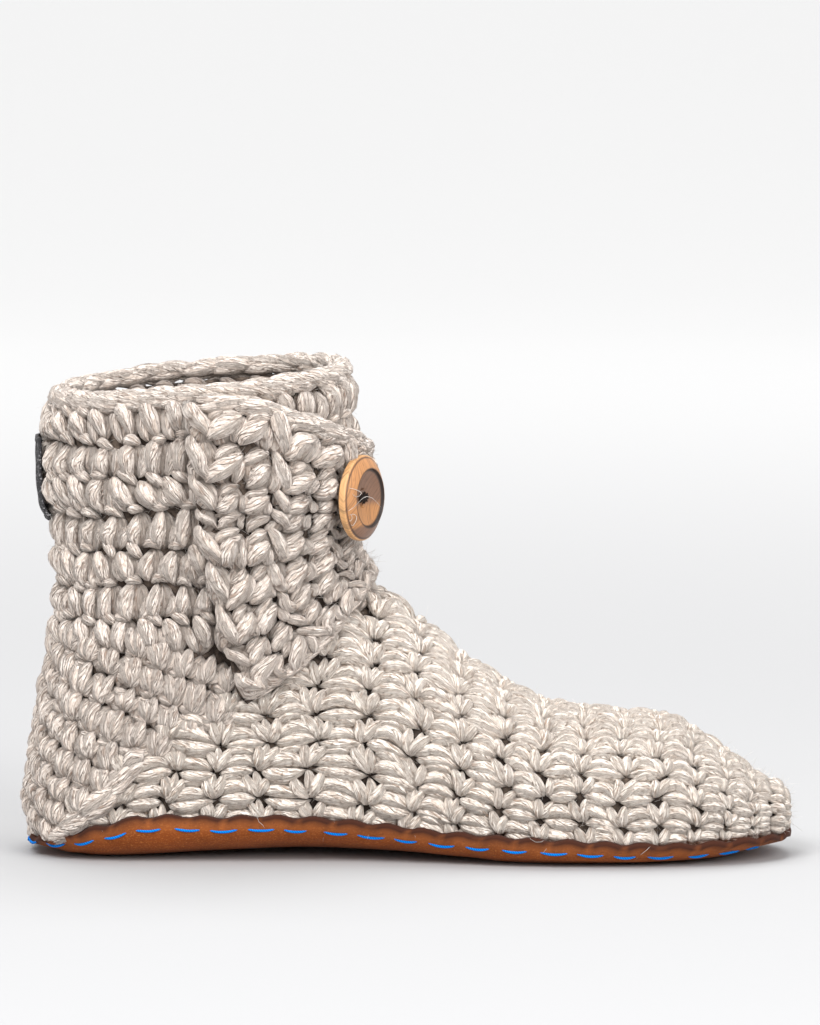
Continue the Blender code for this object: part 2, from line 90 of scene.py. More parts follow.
class Socket:
    """An output of a shader node, on which sums can be written."""

    def __init__(self, tree: bpy.types.NodeTree, link: bpy.types.NodeSocket) -> None:
        """Keeps the node tree and the output."""
        self.tree = tree
        self.link = link

    def sum(self, operation: str, other: Any, swapped: bool = False, clamp: bool = False) -> "Socket":
        """Adds a Math node.

        Args:
            operation: The Math node's operation.
            other: A number or another socket.
            swapped: Puts other first.
            clamp: Keeps the result between 0 and 1.

        Returns:
            The node's output.
        """
        node = self.tree.nodes.new("ShaderNodeMath")
        node.operation = operation
        node.use_clamp = clamp
        for place, value in zip((1, 0) if swapped else (0, 1), (self, other)):
            if isinstance(value, Socket):
                self.tree.links.new(value.link, node.inputs[place])
            elif value is not None:
                node.inputs[place].default_value = value
        return Socket(self.tree, node.outputs[0])

    def __add__(self, other: Any) -> "Socket":
        """The sum."""
        return self.sum("ADD", other)

    __radd__ = __add__

    def __sub__(self, other: Any) -> "Socket":
        """The difference."""
        return self.sum("SUBTRACT", other)

    def __rsub__(self, other: Any) -> "Socket":
        """The difference with the number first."""
        return self.sum("SUBTRACT", other, swapped=True)

    def __mul__(self, other: Any) -> "Socket":
        """The product."""
        return self.sum("MULTIPLY", other)

    __rmul__ = __mul__

    def __pow__(self, other: Any) -> "Socket":
        """The power."""
        return self.sum("POWER", other)

    def clamped(self) -> "Socket":
        """The value kept between 0 and 1."""
        return self.sum("ADD", 0.0, clamp=True)

    def over(self, low: float, high: float) -> "Socket":
        """A smooth step from 0 at low to 1 at high.

        Args:
            low: The value that gives 0.
            high: The value that gives 1.

        Returns:
            The step's output.
        """
        node = self.tree.nodes.new("ShaderNodeMapRange")
        node.interpolation_type = "SMOOTHSTEP"
        self.tree.links.new(self.link, node.inputs["Value"])
        node.inputs["From Min"].default_value = low
        node.inputs["From Max"].default_value = high
        return Socket(self.tree, node.outputs[0])


class Shader:
    """A material written as expressions."""

    def __init__(self, name: str) -> None:
        """Makes a material with a Principled shader and nothing else.

        Args:
            name: The material's name.
        """
        self.material = bpy.data.materials.new(name)
        self.material.use_nodes = True
        self.tree = self.material.node_tree
        self.surface = self.tree.nodes["Principled BSDF"]

    def take(self, kind: str, settings: dict[str, Any], sockets: dict[Any, Any], output: Any = 0) -> Socket:
        """Adds a node.

        Args:
            kind: The node's type.
            settings: Properties that are set first.
            sockets: Values or sockets by input name or number.
            output: The output's name or number.

        Returns:
            The chosen output.
        """
        node = self.tree.nodes.new(kind)
        for name, value in settings.items():
            setattr(node, name, value)
        for key, value in sockets.items():
            self.feed(node.inputs[key], value)
        return Socket(self.tree, node.outputs[output])

    def feed(self, target: bpy.types.NodeSocket, value: Any) -> None:
        """Sets an input to a number or colour, or links a socket to it.

        Args:
            target: The input.
            value: The number, colour or socket.
        """
        if isinstance(value, Socket):
            self.tree.links.new(value.link, target)
        elif isinstance(value, tuple) and len(value) == 3 and target.type == "RGBA":
            target.default_value = (*value, 1.0)
        else:
            target.default_value = value

    def dress(self, sockets: Sockets) -> Material:
        """Feeds the Principled shader.

        Args:
            sockets: Values by input name, with underscores for its spaces.

        Returns:
            The finished material.
        """
        for name, value in sockets.items():
            self.feed(self.surface.inputs[name.replace("_", " ")], value)
        return self.material

    def place(self) -> Socket:
        """The point on the piece, in metres."""
        return self.take("ShaderNodeTexCoord", {}, {}, "Object")

    def chart(self, name: str = "UVMap") -> Socket:
        """The piece's own map of its surface."""
        return self.take("ShaderNodeUVMap", {"uv_map": name}, {})

    def mark(self, name: str) -> Socket:
        """A number that the mesh carries at its points."""
        return self.take("ShaderNodeAttribute", {"attribute_name": name}, {}, "Fac")

    def parts(self, vector: Socket) -> tuple[Socket, Socket, Socket]:
        """The three numbers of a vector."""
        node = self.tree.nodes.new("ShaderNodeSeparateXYZ")
        self.tree.links.new(vector.link, node.inputs[0])
        return tuple(Socket(self.tree, out) for out in node.outputs)

    def vector(self, x: Any, y: Any, z: Any = 0.0) -> Socket:
        """A vector of three numbers or sockets."""
        return self.take("ShaderNodeCombineXYZ", {}, {0: x, 1: y, 2: z})

    def noise(self, where: Socket, scale: float, detail: float = 3.0, rough: float = 0.55) -> Socket:
        """Cloudy noise about 0.5, from its place, fineness, octaves and their strength."""
        sockets = {"Vector": where, "Scale": scale, "Detail": detail, "Roughness": rough}
        return self.take("ShaderNodeTexNoise", {}, sockets, "Fac")

    def blend(self, share: Any, first: Any, second: Any) -> Socket:
        """Blends two colours, with share of the second."""
        return self.take("ShaderNodeMix", {"data_type": "RGBA"}, {0: share, 6: first, 7: second}, 2)

    def raised(self, height: Socket, distance: float, coarse: Socket | None = None) -> Socket:
        """A bump.

        Args:
            height: The height from 0 to 1.
            distance: What a height of 1 stands proud, in metres.
            coarse: A coarser bump that this one lies on.

        Returns:
            The changed normal.
        """
        sockets = {"Height": height, "Distance": distance, "Strength": 1.0}
        if coarse is not None:
            sockets["Normal"] = coarse
        return self.take("ShaderNodeBump", {}, sockets)


# Finishes


@dataclass(frozen=True)
class Finish:
    """A named finish, which says what the Principled shader is fed."""

    name: str

    def paint(self, shader: Shader) -> Sockets:
        """What the Principled shader is fed: nothing yet."""
        return {}

    def material(self) -> Material:
        """The finish as a material."""
        shader = Shader(self.name)
        return shader.dress(self.paint(shader))


@dataclass(frozen=True)
class YarnFinish(Finish):
    """Bulky roving yarn, read from its strand map: around the strand and along it."""

    light: Colour
    middle: Colour
    deep: Colour
    plies: float = 11.0
    fibres: float = 27.0
    ply_height: float = 0.50 * MM
    fibre_height: float = 0.20 * MM

    def paint(self, shader: Shader) -> Sockets:
        """What the Principled shader is fed.

        Args:
            shader: The shader that it is written for.

        Returns:
            Values by input name.
        """
        around, along, _ = shader.parts(shader.chart())
        drift = shader.noise(shader.vector(along * 0.5, around * 3.0), 1.0, 1.0) * 0.10
        twisted = around + along * 0.035 + drift
        ply = shader.noise(shader.vector(twisted * self.plies, along * 0.30), 1.0, 1.0, 0.4)
        fibre = shader.noise(shader.vector(twisted * self.fibres, along * 0.75), 1.0, 2.0, 0.6)
        hair = shader.noise(shader.vector(twisted * self.fibres * 2.6, along * 1.6), 1.0, 2.0, 0.6)
        cloud = shader.noise(shader.place(), 60.0, 2.0)
        furrow = self.line(ply, 20.0)
        thin = self.line(fibre, 13.0)
        colour = shader.blend(ply.over(0.28, 0.50), self.middle, self.light)
        colour = shader.blend(hair.over(0.48, 0.70) * 0.25, colour, self.middle)
        colour = shader.blend(thin * 0.54, colour, self.deep)
        colour = shader.blend(furrow * 0.72, colour, self.deep)
        colour = shader.blend(cloud.over(0.45, 0.75) * 0.10, colour, self.deep)
        # Painted shade: the colour falls towards a dark brown where the strand's shade mark is low, at strand
        # ends and on dimmed strands.
        colour = shader.blend(1.0 - shader.mark("shade"), colour, tuple(0.42 * part for part in self.deep))
        coarse = shader.raised(1.0 - furrow, self.ply_height)
        fine = shader.raised((1.0 - thin) * 0.7 + hair * 0.5, self.fibre_height, coarse)
        return dict(
            Base_Color=colour, Roughness=0.90, Normal=fine, Sheen_Weight=0.30, Sheen_Roughness=0.5,
            Specular_IOR_Level=0.15,
        )

    def line(self, level: Socket, thinness: float) -> Socket:
        """Thin lines where a noise passes its middle value."""
        return (1.0 - ((level - 0.5) * thinness).sum("ABSOLUTE", None)).clamped()


@dataclass(frozen=True)
class BackingFinish(Finish):
    """The matted yarn that shows between the stitches, painted far darker than the yarn: painted shade in the
    hollows between them.
    """

    colour: Colour
    hollow_shade: Colour

    def paint(self, shader: Shader) -> Sockets:
        """What the Principled shader is fed.

        Args:
            shader: The shader that it is written for.

        Returns:
            Values by input name.
        """
        where = shader.place()
        mat = shader.noise(where, 420.0, 4.0, 0.65)
        lump = shader.noise(where, 120.0, 2.0)
        colour = shader.blend((mat * lump).over(0.16, 0.42), self.hollow_shade, self.colour)
        normal = shader.raised(mat, 1.2 * MM)
        return dict(Base_Color=colour, Roughness=0.97, Normal=normal, Specular_IOR_Level=0.1)


@dataclass(frozen=True)
class HairFinish(Finish):
    """Single loose fibres."""

    colour: Colour

    def paint(self, shader: Shader) -> Sockets:
        """What the Principled shader is fed.

        Args:
            shader: The shader that it is written for.

        Returns:
            Values by input name.
        """
        tone = shader.noise(shader.place(), 240.0, 1.0)
        colour = shader.blend(tone.over(0.3, 0.7), tuple(0.55 * c for c in self.colour), self.colour)
        return dict(Base_Color=colour, Roughness=0.6, Specular_IOR_Level=0.3)


@dataclass(frozen=True)
class SuedeFinish(Finish):
    """Brushed brown suede: dark and smooth below the stitches, orange and fuzzy above them."""

    low: Colour
    high: Colour
    cut: Colour

    def paint(self, shader: Shader) -> Sockets:
        """What the Principled shader is fed, which reads how near the surface is to its cut edge.

        Args:
            shader: The shader that it is written for.

        Returns:
            Values by input name.
        """
        where = shader.place()
        band, edge = shader.mark("band"), shader.mark("edge")
        nap = shader.noise(where, 1500.0, 4.0, 0.7)
        brushed = shader.noise(where, 95.0, 3.0, 0.6)
        pore = shader.noise(where, 620.0, 2.0)
        base = shader.blend(band, self.low, self.high)
        base = shader.blend(brushed.over(0.35, 0.7) * 0.45, base, tuple(0.62 * c for c in self.low))
        base = shader.blend(nap.over(0.48, 0.72) * 0.40, base, tuple(min(1.0, 1.7 * c) for c in self.high))
        base = shader.blend(pore.over(0.62, 0.74) * 0.35, base, self.cut)
        colour = shader.blend(edge, base, self.cut)
        coarse = shader.raised(brushed, 0.7 * MM)
        fine = shader.raised(nap, 0.22 * MM, coarse)
        return dict(
            Base_Color=colour, Roughness=0.93, Normal=fine, Sheen_Weight=0.05, Sheen_Roughness=0.45,
            Specular_IOR_Level=0.15,
        )


@dataclass(frozen=True)
class ThreadFinish(Finish):
    """Twisted sewing thread, read from its strand map."""

    colour: Colour
    turns: float

    def paint(self, shader: Shader) -> Sockets:
        """What the Principled shader is fed.

        Args:
            shader: The shader that it is written for.

        Returns:
            Values by input name.
        """
        around, along, _ = shader.parts(shader.chart())
        phase = (around * 3.0 + along * self.turns).sum("FRACT", None)
        ridge = 1.0 - (phase * 2.0 - 1.0).sum("ABSOLUTE", None)
        # Painted shade: darker in the grooves of the twist.
        colour = shader.blend(ridge.over(0.0, 0.6), tuple(0.45 * c for c in self.colour), self.colour)
        return dict(
            Base_Color=colour, Roughness=0.7, Normal=shader.raised(ridge, 0.12 * MM), Specular_IOR_Level=0.1,
        )


@dataclass(frozen=True)
class WoodFinish(Finish):
    """Oiled olive-brown wood with scorch rings, read from the button's own maps: across and
    along the grain, and the share of the radius. Its colour also carries painted light and shade:
    darker low on the bevel and high in the bowl, lighter low in the bowl, and darker in the middle
    round the thread holes."""

    # bevel is the wood's lit tone and bowl its shaded tone; both are laid by height below as painted light
    # and shade.
    edge: Colour
    bevel: Colour
    bowl: Colour
    scorch: Colour
    grain: float = 200.0
    heart: float = 122.0 * MM

    def paint(self, shader: Shader) -> Sockets:
        """What the Principled shader is fed.

        Args:
            shader: The shader that it is written for.

        Returns:
            Values by input name.
        """
        across, along, _ = shader.parts(shader.chart("grain"))
        radius, _, _ = shader.parts(shader.chart("disc"))
        wander = shader.noise(shader.vector(across * 60.0, along * 12.0), 1.0, 2.0) * 0.010
        year = shader.noise(shader.vector((across + wander) * self.grain * 9.0, along * 40.0), 1.0, 3.0, 0.65)
        pore = shader.noise(shader.vector(across * 4200.0, along * 260.0), 1.0, 2.0)
        side, bowl = radius.over(0.965, 0.985), 1.0 - radius.over(0.655, 0.672)
        height = shader.parts(shader.place())[2]
        # Painted shade: the bevel's lower side takes the shaded bowl tone.
        low = 1.0 - (height + across * 0.4).over(self.heart - 8 * MM, self.heart - 5.5 * MM)
        base = shader.blend(low, self.bevel, self.bowl)
        base = shader.blend(side, base, self.edge)
        # Painted light and shade in the dish: the lit bevel tone low down, where it faces up, and the shaded
        # bowl tone high up.
        dish = shader.blend(height.over(self.heart - 2.5 * MM, self.heart + 0.5 * MM), self.bevel, self.bowl)
        base = shader.blend(bowl, base, dish)
        base = shader.blend(year.over(0.46, 0.60) * 0.42, base, tuple(0.45 * c for c in self.bowl))
        base = shader.blend(pore.over(0.60, 0.70) * 0.5, base, self.scorch)
        # The rings are scorch; the darkened middle is painted shade round the thread holes.
        ring = 1.0 - ((radius - 0.672) * 20.0).sum("ABSOLUTE", None).clamped() ** 2.0
        rim = 1.0 - ((radius - 0.945) * 34.0).sum("ABSOLUTE", None).clamped()
        middle = 1.0 - radius.over(0.0, 0.22)
        scorch_and_hole_shade = (ring + rim * 0.85 + middle * 0.55).clamped()
        colour = shader.blend(scorch_and_hole_shade, base, self.scorch)
        return dict(
            Base_Color=colour, Roughness=0.42 + 0.2 * pore, Normal=shader.raised(year, 0.05 * MM),
            Coat_Weight=0.15, Coat_Roughness=0.3,
        )


@dataclass(frozen=True)
class TapeFinish(Finish):
    """Dark woven tape, read from its own map in metres."""

    warp: Colour
    weft: Colour
    thread: float = 0.9 * MM

    def paint(self, shader: Shader) -> Sockets:
        """What the Principled shader is fed.

        Args:
            shader: The shader that it is written for.

        Returns:
            Values by input name.
        """
        x, y, _ = shader.parts(shader.chart())
        pitch = 2 * math.pi / self.thread
        over = (x * pitch).sum("SINE", None) * (y * pitch).sum("SINE", None)
        speck = shader.noise(shader.place(), 900.0, 3.0, 0.7)
        colour = shader.blend(over.over(-0.3, 0.3), self.weft, self.warp)
        colour = shader.blend(speck.over(0.54, 0.64) * 0.8, colour, (0.40, 0.39, 0.40))
        normal = shader.raised(over.over(-1.0, 1.0), 0.35 * MM)
        return dict(Base_Color=colour, Roughness=0.85, Normal=normal)


@dataclass(frozen=True)
class FeltFinish(Finish):
    """Soft wool felt."""

    colour: Colour

    def paint(self, shader: Shader) -> Sockets:
        """What the Principled shader is fed.

        Args:
            shader: The shader that it is written for.

        Returns:
            Values by input name.
        """
        where = shader.place()
        fluff = shader.noise(where, 900.0, 4.0, 0.7)
        wear = shader.noise(where, 38.0, 2.0)
        colour = shader.blend(fluff.over(0.35, 0.65), tuple(0.62 * c for c in self.colour), self.colour)
        colour = shader.blend(wear.over(0.45, 0.75) * 0.3, colour, tuple(0.5 * c for c in self.colour))
        return dict(Base_Color=colour, Roughness=0.95, Normal=shader.raised(fluff, 0.5 * MM))


@dataclass(frozen=True)
class FloorFinish(Finish):
    """The studio's pale seamless floor, a little paler far from the lamps, where it glows."""

    near: Colour
    far: Colour
    glow: float = 0.285

    def paint(self, shader: Shader) -> Sockets:
        """What the Principled shader is fed.

        Args:
            shader: The shader that it is written for.

        Returns:
            Values by input name.
        """
        where = shader.place()
        reach = shader.take("ShaderNodeVectorMath", {"operation": "LENGTH"}, {0: where}, "Value")
        cloud = shader.noise(where, 0.6, 1.0)
        colour = shader.blend(reach.over(0.4, 2.6), self.near, self.far)
        colour = shader.blend(cloud * 0.02, colour, tuple(0.9 * part for part in self.near))
        light = shader.blend(reach.over(0.25, 2.6), (0.0, 0.0, 0.0), (1.0, 1.0, 1.0))
        return dict(
            Base_Color=colour, Roughness=0.9, Specular_IOR_Level=0.0,
            Emission_Color=light, Emission_Strength=self.glow,
        )


# The last


class FootRow(NamedTuple):
    """An upright section: at as a share of the foot's length from the heel, top of the instep's
    height, lift of the toe spring, and ridge, medial and lateral of the ball's width."""

    at: float
    top: float
    lift: float
    ridge: float
    medial: float
    lateral: float
    widest: float
    crown: float
    base: float


class AnkleRow(NamedTuple):
    """A slanted section: front and back as shares of the foot's length, high and low of the ankle's
    height, arch of the arch's lift, and ridge, medial and lateral of the heel's width."""

    front: float
    high: float
    back: float
    low: float
    arch: float
    ridge: float
    medial: float
    lateral: float
    widest: float
    crown: float
    base: float


class ShaftRow(NamedTuple):
    """A ring of the shaft: rises as shares of the cuff's height, back and length of the collar's
    length, and width of the collar's width."""

    rise_front: float
    rise_back: float
    back: float
    length: float
    width: float
    widest: float
    round: float


@dataclass
class Last:
    """The wool's outer face as a function of place u, counted in rows from the toe to the collar,
    and of turn in degrees round each row from its top, positive on the inner side."""

    foot_length: float = 260.5 * MM
    heel_rest: float = 31.0 * MM
    ball_width: float = 98.0 * MM
    heel_width: float = 73.0 * MM
    instep_height: float = 67.0 * MM
    ankle_height: float = 118.0 * MM
    cuff_height: float = 45.0 * MM
    collar_length: float = 104.0 * MM
    collar_width: float = 88.0 * MM
    toe_spring: float = 7.0 * MM
    arch_lift: float = 3.0 * MM
    seat: float = 2.2 * MM
    foot: tuple[FootRow, ...] = (
        FootRow(1.000, 0.250, 1.90, -0.100, 0.000, 0.000, 0.50, 2.0, 2.0),
        FootRow(0.998, 0.308, 1.10, -0.102, 0.085, 0.085, 0.50, 2.0, 2.2),
        FootRow(0.989, 0.355, 0.75, -0.105, 0.155, 0.160, 0.52, 2.0, 2.6),
        FootRow(0.967, 0.415, 0.52, -0.103, 0.232, 0.250, 0.55, 2.0, 3.0),
        FootRow(0.937, 0.490, 0.38, -0.101, 0.294, 0.330, 0.58, 2.0, 3.6),
        FootRow(0.891, 0.605, 0.20, -0.097, 0.350, 0.418, 0.60, 2.0, 4.2),
        FootRow(0.840, 0.705, 0.08, -0.087, 0.390, 0.485, 0.60, 2.1, 4.8),
        FootRow(0.772, 0.724, 0.00, -0.075, 0.418, 0.545, 0.58, 2.1, 5.0),
        FootRow(0.695, 0.755, 0.00, -0.062, 0.430, 0.570, 0.58, 2.1, 5.0),
        FootRow(0.630, 0.868, 0.02, -0.050, 0.427, 0.560, 0.62, 2.1, 4.6),
        FootRow(0.572, 1.000, 0.16, -0.040, 0.414, 0.535, 0.66, 2.1, 4.0),
    )
    ankle: tuple[AnkleRow, ...] = (
        AnkleRow(0.532, 0.641, 0.473, 0.014, 0.7, -0.045, 0.512, 0.665, 0.70, 2.1, 3.6),
        AnkleRow(0.500, 0.700, 0.367, 0.018, 1.0, -0.030, 0.488, 0.605, 0.74, 2.1, 3.3),
        AnkleRow(0.474, 0.742, 0.247, 0.010, 0.7, -0.015, 0.488, 0.550, 0.77, 2.1, 3.2),
        AnkleRow(0.451, 0.784, 0.105, 0.000, 0.0, 0.000, 0.500, 0.515, 0.77, 2.1, 2.9),
        AnkleRow(0.433, 0.816, 0.015, 0.018, 0.0, 0.000, 0.505, 0.515, 0.73, 2.1, 2.4),
        AnkleRow(0.420, 0.858, -0.004, 0.125, 0.0, 0.000, 0.508, 0.515, 0.67, 2.1, 2.2),
        AnkleRow(0.413, 0.903, 0.009, 0.350, 0.0, 0.000, 0.515, 0.520, 0.60, 2.1, 2.2),
        AnkleRow(0.412, 0.958, 0.031, 0.600, 0.0, 0.000, 0.530, 0.535, 0.55, 2.1, 2.2),
    )
    shaft: tuple[ShaftRow, ...] = (
        ShaftRow(0.00, -0.40, 0.093, 0.955, 0.925, 0.52, 2.15),
        ShaftRow(0.10, -0.10, 0.091, 0.966, 0.930, 0.51, 2.15),
        ShaftRow(0.22, 0.06, 0.064, 0.999, 0.955, 0.50, 2.2),
        ShaftRow(0.45, 0.32, 0.055, 1.014, 0.980, 0.50, 2.2),
        ShaftRow(0.75, 0.58, 0.060, 1.019, 1.000, 0.50, 2.2),
        ShaftRow(1.00, 0.80, 0.075, 0.990, 0.990, 0.50, 2.2),
    )
    per_row: int = 12
    degrees: float = 3.0

    def __post_init__(self) -> None:
        """Works out the grid of points and normals that everything else reads."""
        self.rows = self.row_table()
        self.collar = len(self.rows) - 1
        self.u = np.linspace(0.0, self.collar, self.collar * self.per_row + 1)
        self.turns = np.arange(0.0, 360.0 + self.degrees / 2, self.degrees)
        self.points = self.surface(self.u[:, None], self.turns)
        step = 0.03
        along = self.surface(np.minimum(self.u + step, self.collar)[:, None], self.turns)
        along = along - self.surface(np.maximum(self.u - step, 0.0)[:, None], self.turns)
        around = self.surface(self.u[:, None], self.turns + 1.5)
        around = around - self.surface(self.u[:, None], self.turns - 1.5)
        self.normals = unit(np.cross(along, around))
        self.normals[0] = (1.0, 0.0, 0.0)

    def row_table(self) -> Array:
        """All sections as numbers: top x and z, low x and z, arch, ridge, half widths and roundness.

        Returns:
            One line of eleven numbers for each section.
        """
        at, top, lift, *sides = np.array(self.foot).T
        x = self.foot_length * at - self.heel_rest
        foot = [
            x, self.instep_height * top, x, self.seat + self.toe_spring * lift, 0 * x,
            *(self.ball_width * side for side in sides[:3]), *sides[3:],
        ]
        front, high, back, low, arch, *sides = np.array(self.ankle).T
        ankle = [
            self.foot_length * front - self.heel_rest, self.ankle_height * high,
            self.foot_length * back - self.heel_rest, self.seat + self.ankle_height * low,
            self.arch_lift * arch, *(self.heel_width * side for side in sides[:3]), *sides[3:],
        ]
        rise_front, rise_back, back, length, width, widest, exponent = np.array(self.shaft).T
        back, half = self.collar_length * back - self.heel_rest, self.collar_width * width / 2
        shaft = [
            back + self.collar_length * length, self.ankle_height + self.cuff_height * rise_front,
            back, self.ankle_height + self.cuff_height * rise_back,
            0 * back, 0 * back, half, half, widest, exponent, exponent,
        ]
        return np.concatenate([np.array(part).T for part in (foot, ankle, shaft)])

    def section(self, u: Array) -> Array:
        """Sections between the rows, on smooth curves with no overshoot.

        Args:
            u: Places along the last.

        Returns:
            Eleven numbers for each place, in a new last axis.
        """
        slopes = np.diff(self.rows, axis=0)
        total, level = slopes[:-1] + slopes[1:], slopes[:-1] * slopes[1:] <= 0
        inner = np.where(level, 0.0, 2 * slopes[:-1] * slopes[1:] / np.where(level, 1.0, total))
        tangents = np.concatenate([slopes[:1], inner, slopes[-1:]])
        i = np.clip(u.astype(int), 0, len(slopes) - 1)
        t = (u - i)[..., None]
        return (
            self.rows[i] * (2 * t**3 - 3 * t**2 + 1) + tangents[i] * (t**3 - 2 * t**2 + t)
            + self.rows[i + 1] * (3 * t**2 - 2 * t**3) + tangents[i + 1] * (t**3 - t**2)
        )

    def surface(self, u: Array, turn: Array) -> Array:
        """Points of the wool's outer face.

        Args:
            u: Places along the last.
            turn: Degrees round it.

        Returns:
            The points, in a new last axis.
        """
        u, turn = np.broadcast_arrays(u, turn)
        top_x, top_z, low_x, low_z, arch, ridge, medial, lateral, widest, crown, base = np.moveaxis(
            self.section(u), -1, 0
        )
        dx, dz = low_x - top_x, low_z - top_z
        length = np.maximum(np.hypot(dx, dz), 1e-9)
        across, along = np.sin(np.radians(turn)), np.cos(np.radians(turn))
        half = np.where(across >= 0, medial, lateral)
        exponent = np.where(along >= 0, 2 / crown, 2 / base)
        reach = np.where(along >= 0, widest, 1 - widest) * length
        depth = widest * length - reach * np.sign(along) * np.abs(along) ** exponent
        lifted = (along < 0) & (across > 0)
        depth = depth - np.where(lifted, arch * np.sin(np.radians(2 * (turn - 90))), 0.0)
        y = ridge - half * np.sign(across) * np.abs(across) ** exponent
        return np.stack([top_x + dx / length * depth, y, top_z + dz / length * depth], -1)

    def at(self, u: Any, turn: Any, out: Any = 0.0) -> Array:
        """Points at distances outside the wool's outer face, read from the grid."""
        points, normals = self.with_normals(u, turn)
        return points + normals * np.asarray(out)[..., None]

    def with_normals(self, u: Any, turn: Any) -> tuple[Array, Array]:
        """Points of the face and the directions out of it, read from the grid."""
        row = np.asarray(u, float) * self.per_row
        column = np.mod(np.asarray(turn, float), 360.0) / self.degrees
        return read_grid(self.points, row, column), unit(read_grid(self.normals, row, column))

    def station_of_front(self, height: float) -> float:
        """The place along the ankle and shaft whose front point has this height."""
        u = np.linspace(len(self.foot) - 1, self.collar, 400)
        return float(np.interp(height, self.section(u)[:, 1], u))

    def station_of_back(self, height: float) -> float:
        """The place along the heel and shaft whose back point has this height."""
        u = np.linspace(len(self.foot) + 4, self.collar, 400)
        return float(np.interp(height, self.section(u)[:, 3], u))

    def tree(self, out: float, lid: float | None = None) -> BVHTree:
        """A search tree of the face, for rays from inside.

        Args:
            out: The distance outside the wool.
            lid: The height of a lid that closes the shaft, if there is one.

        Returns:
            The tree.
        """
        points = self.points + self.normals * out
        m, n = points.shape[:2]
        corners = np.arange(m * n).reshape(m, n)
        quads = np.stack([corners[:-1, :-1], corners[:-1, 1:], corners[1:, 1:], corners[1:, :-1]], -1)
        vertices = points.reshape(-1, 3).tolist()
        faces = quads.reshape(-1, 4).tolist()
        if lid is not None:
            wide = 0.5
            faces.append([len(vertices) + k for k in range(4)])
            vertices += [(-wide, -wide, lid), (wide, -wide, lid), (wide, wide, lid), (-wide, wide, lid)]
        return BVHTree.FromPolygons(vertices, faces)


def unit(vectors: Array) -> Array:
    """The vectors at length 1."""
    return vectors / np.maximum(np.linalg.norm(vectors, axis=-1, keepdims=True), 1e-12)


def read_grid(grid: Array, row: Array, column: Array) -> Array:
    """Reads a grid between its points.

    Args:
        grid: Values in rows and columns.
        row: Rows, with fractions.
        column: Columns, with fractions.

    Returns:
        The values there.
    """
    row, column = np.broadcast_arrays(row, column)
    row, column = np.clip(row, 0, grid.shape[0] - 1), np.clip(column, 0, grid.shape[1] - 1)
    i = np.minimum(row.astype(int), grid.shape[0] - 2)
    j = np.minimum(column.astype(int), grid.shape[1] - 2)
    s, t = (row - i)[..., None], (column - j)[..., None]
    return (
        grid[i, j] * (1 - s) * (1 - t) + grid[i + 1, j] * s * (1 - t)
        + grid[i, j + 1] * (1 - s) * t + grid[i + 1, j + 1] * s * t
    )


class Chart:
    """A map of part of the surface: p along it and q across it, both from 0 to 1."""

    def __init__(self, points: Array, outward: Array | None = None) -> None:
        """Keeps the points and works out the directions out of the surface.

        Args:
            points: Points in rows p and columns q.
            outward: The directions out of it, where they are known.
        """
        self.points = points
        if outward is None:
            outward = np.cross(np.gradient(points, axis=0), np.gradient(points, axis=1))
            away = points - points.mean((0, 1))
            outward = outward * np.sign((outward * away).sum(-1).mean())
        self.normals = unit(outward)

    def at(self, p: Any, q: Any) -> tuple[Array, Array]:
        """Points and directions out of the surface at places of the map."""
        row = np.asarray(p, float) * (self.points.shape[0] - 1)
        column = np.asarray(q, float) * (self.points.shape[1] - 1)
        return read_grid(self.points, row, column), unit(read_grid(self.normals, row, column))


@dataclass
class Slicer:
    """Cuts a face into slices by rays from a spine and spreads each slice evenly by its length."""

    tree: BVHTree
    rays: int = 90
    columns: int = 60

    def side(self, origin: Vector, first: Vector, last: Vector) -> Array:
        """One half of a slice.

        Args:
            origin: A point of the spine.
            first: The direction in which the half starts.
            last: The direction halfway through it.

        Returns:
            Points along the slice, as dense as the rays.
        """
        points = []
        reach = 0.2
        for angle in np.linspace(0.0, math.pi, self.rays):
            direction = first * math.cos(angle) + last * math.sin(angle)
            hit, _, _, distance = self.tree.ray_cast(origin, direction)
            reach = reach if hit is None else distance
            points.append(tuple(origin + direction * reach))
        return np.array(points)

    def both(self, middles: Sequence[Vector], firsts: Sequence[Vector]) -> dict[Side, list[Array]]:
        """Both halves of each slice.

        Args:
            middles: The slices' points of the spine.
            firsts: The directions in which their halves start.

        Returns:
            The halves by side.
        """
        return {
            side: [self.side(*slice_, Vector((0, side.value, 0))) for slice_ in zip(middles, firsts)]
            for side in Side
        }

    def spread(self, sides: Sequence[Array], longest: Sequence[float]) -> Array:
        """Spreads the points of each side evenly by length.

        Args:
            sides: The slices' sides.
            longest: The length at which each side ends.

        Returns:
            A grid with one row for each side.
        """
        rows = []
        for points, most in zip(sides, longest):
            run = run_of(points)
            rows.append(read_line(points, run, np.linspace(0.0, min(run[-1], most), self.columns + 1)))
        return np.array(rows)


def side_length(points: Array) -> float:
    """The length of a line of points."""
    return float(np.linalg.norm(np.diff(points, axis=0), axis=1).sum())


def run_of(points: Array) -> Array:
    """The lengths along a line at which its points lie."""
    return np.concatenate([[0.0], np.cumsum(np.linalg.norm(np.diff(points, axis=0), axis=1))])


def read_line(values: Array, run: Array, at: Array) -> Array:
    """Values at lengths along a line, from those at its points."""
    return np.stack([np.interp(at, run, values[:, k]) for k in range(3)], -1)


# Yarn


class Lobe(NamedTuple):
    """One strand of a stitch, in shares of the stitch's cell: where it starts, bows and ends, each
    across and up the cell, its width and thickness in millimetres, how high its middle and its ends
    lie over the backing, and how bright it is."""

    start: tuple[float, float]
    bow: tuple[float, float]
    end: tuple[float, float]
    width: float
    thick: float
    lift: float
    sink: float = 0.4
    tone: float = 1.0


# Places along a strand, and how far it bows out there
ALONG = np.linspace(0.0, 1.0, 5)
BULGE = np.sin(math.pi * ALONG)


class Stitch(NamedTuple):
    """A crochet stitch: its cell's size in millimetres, across and up, and its strands."""

    across: float
    up: float
    lobes: tuple[Lobe, ...]


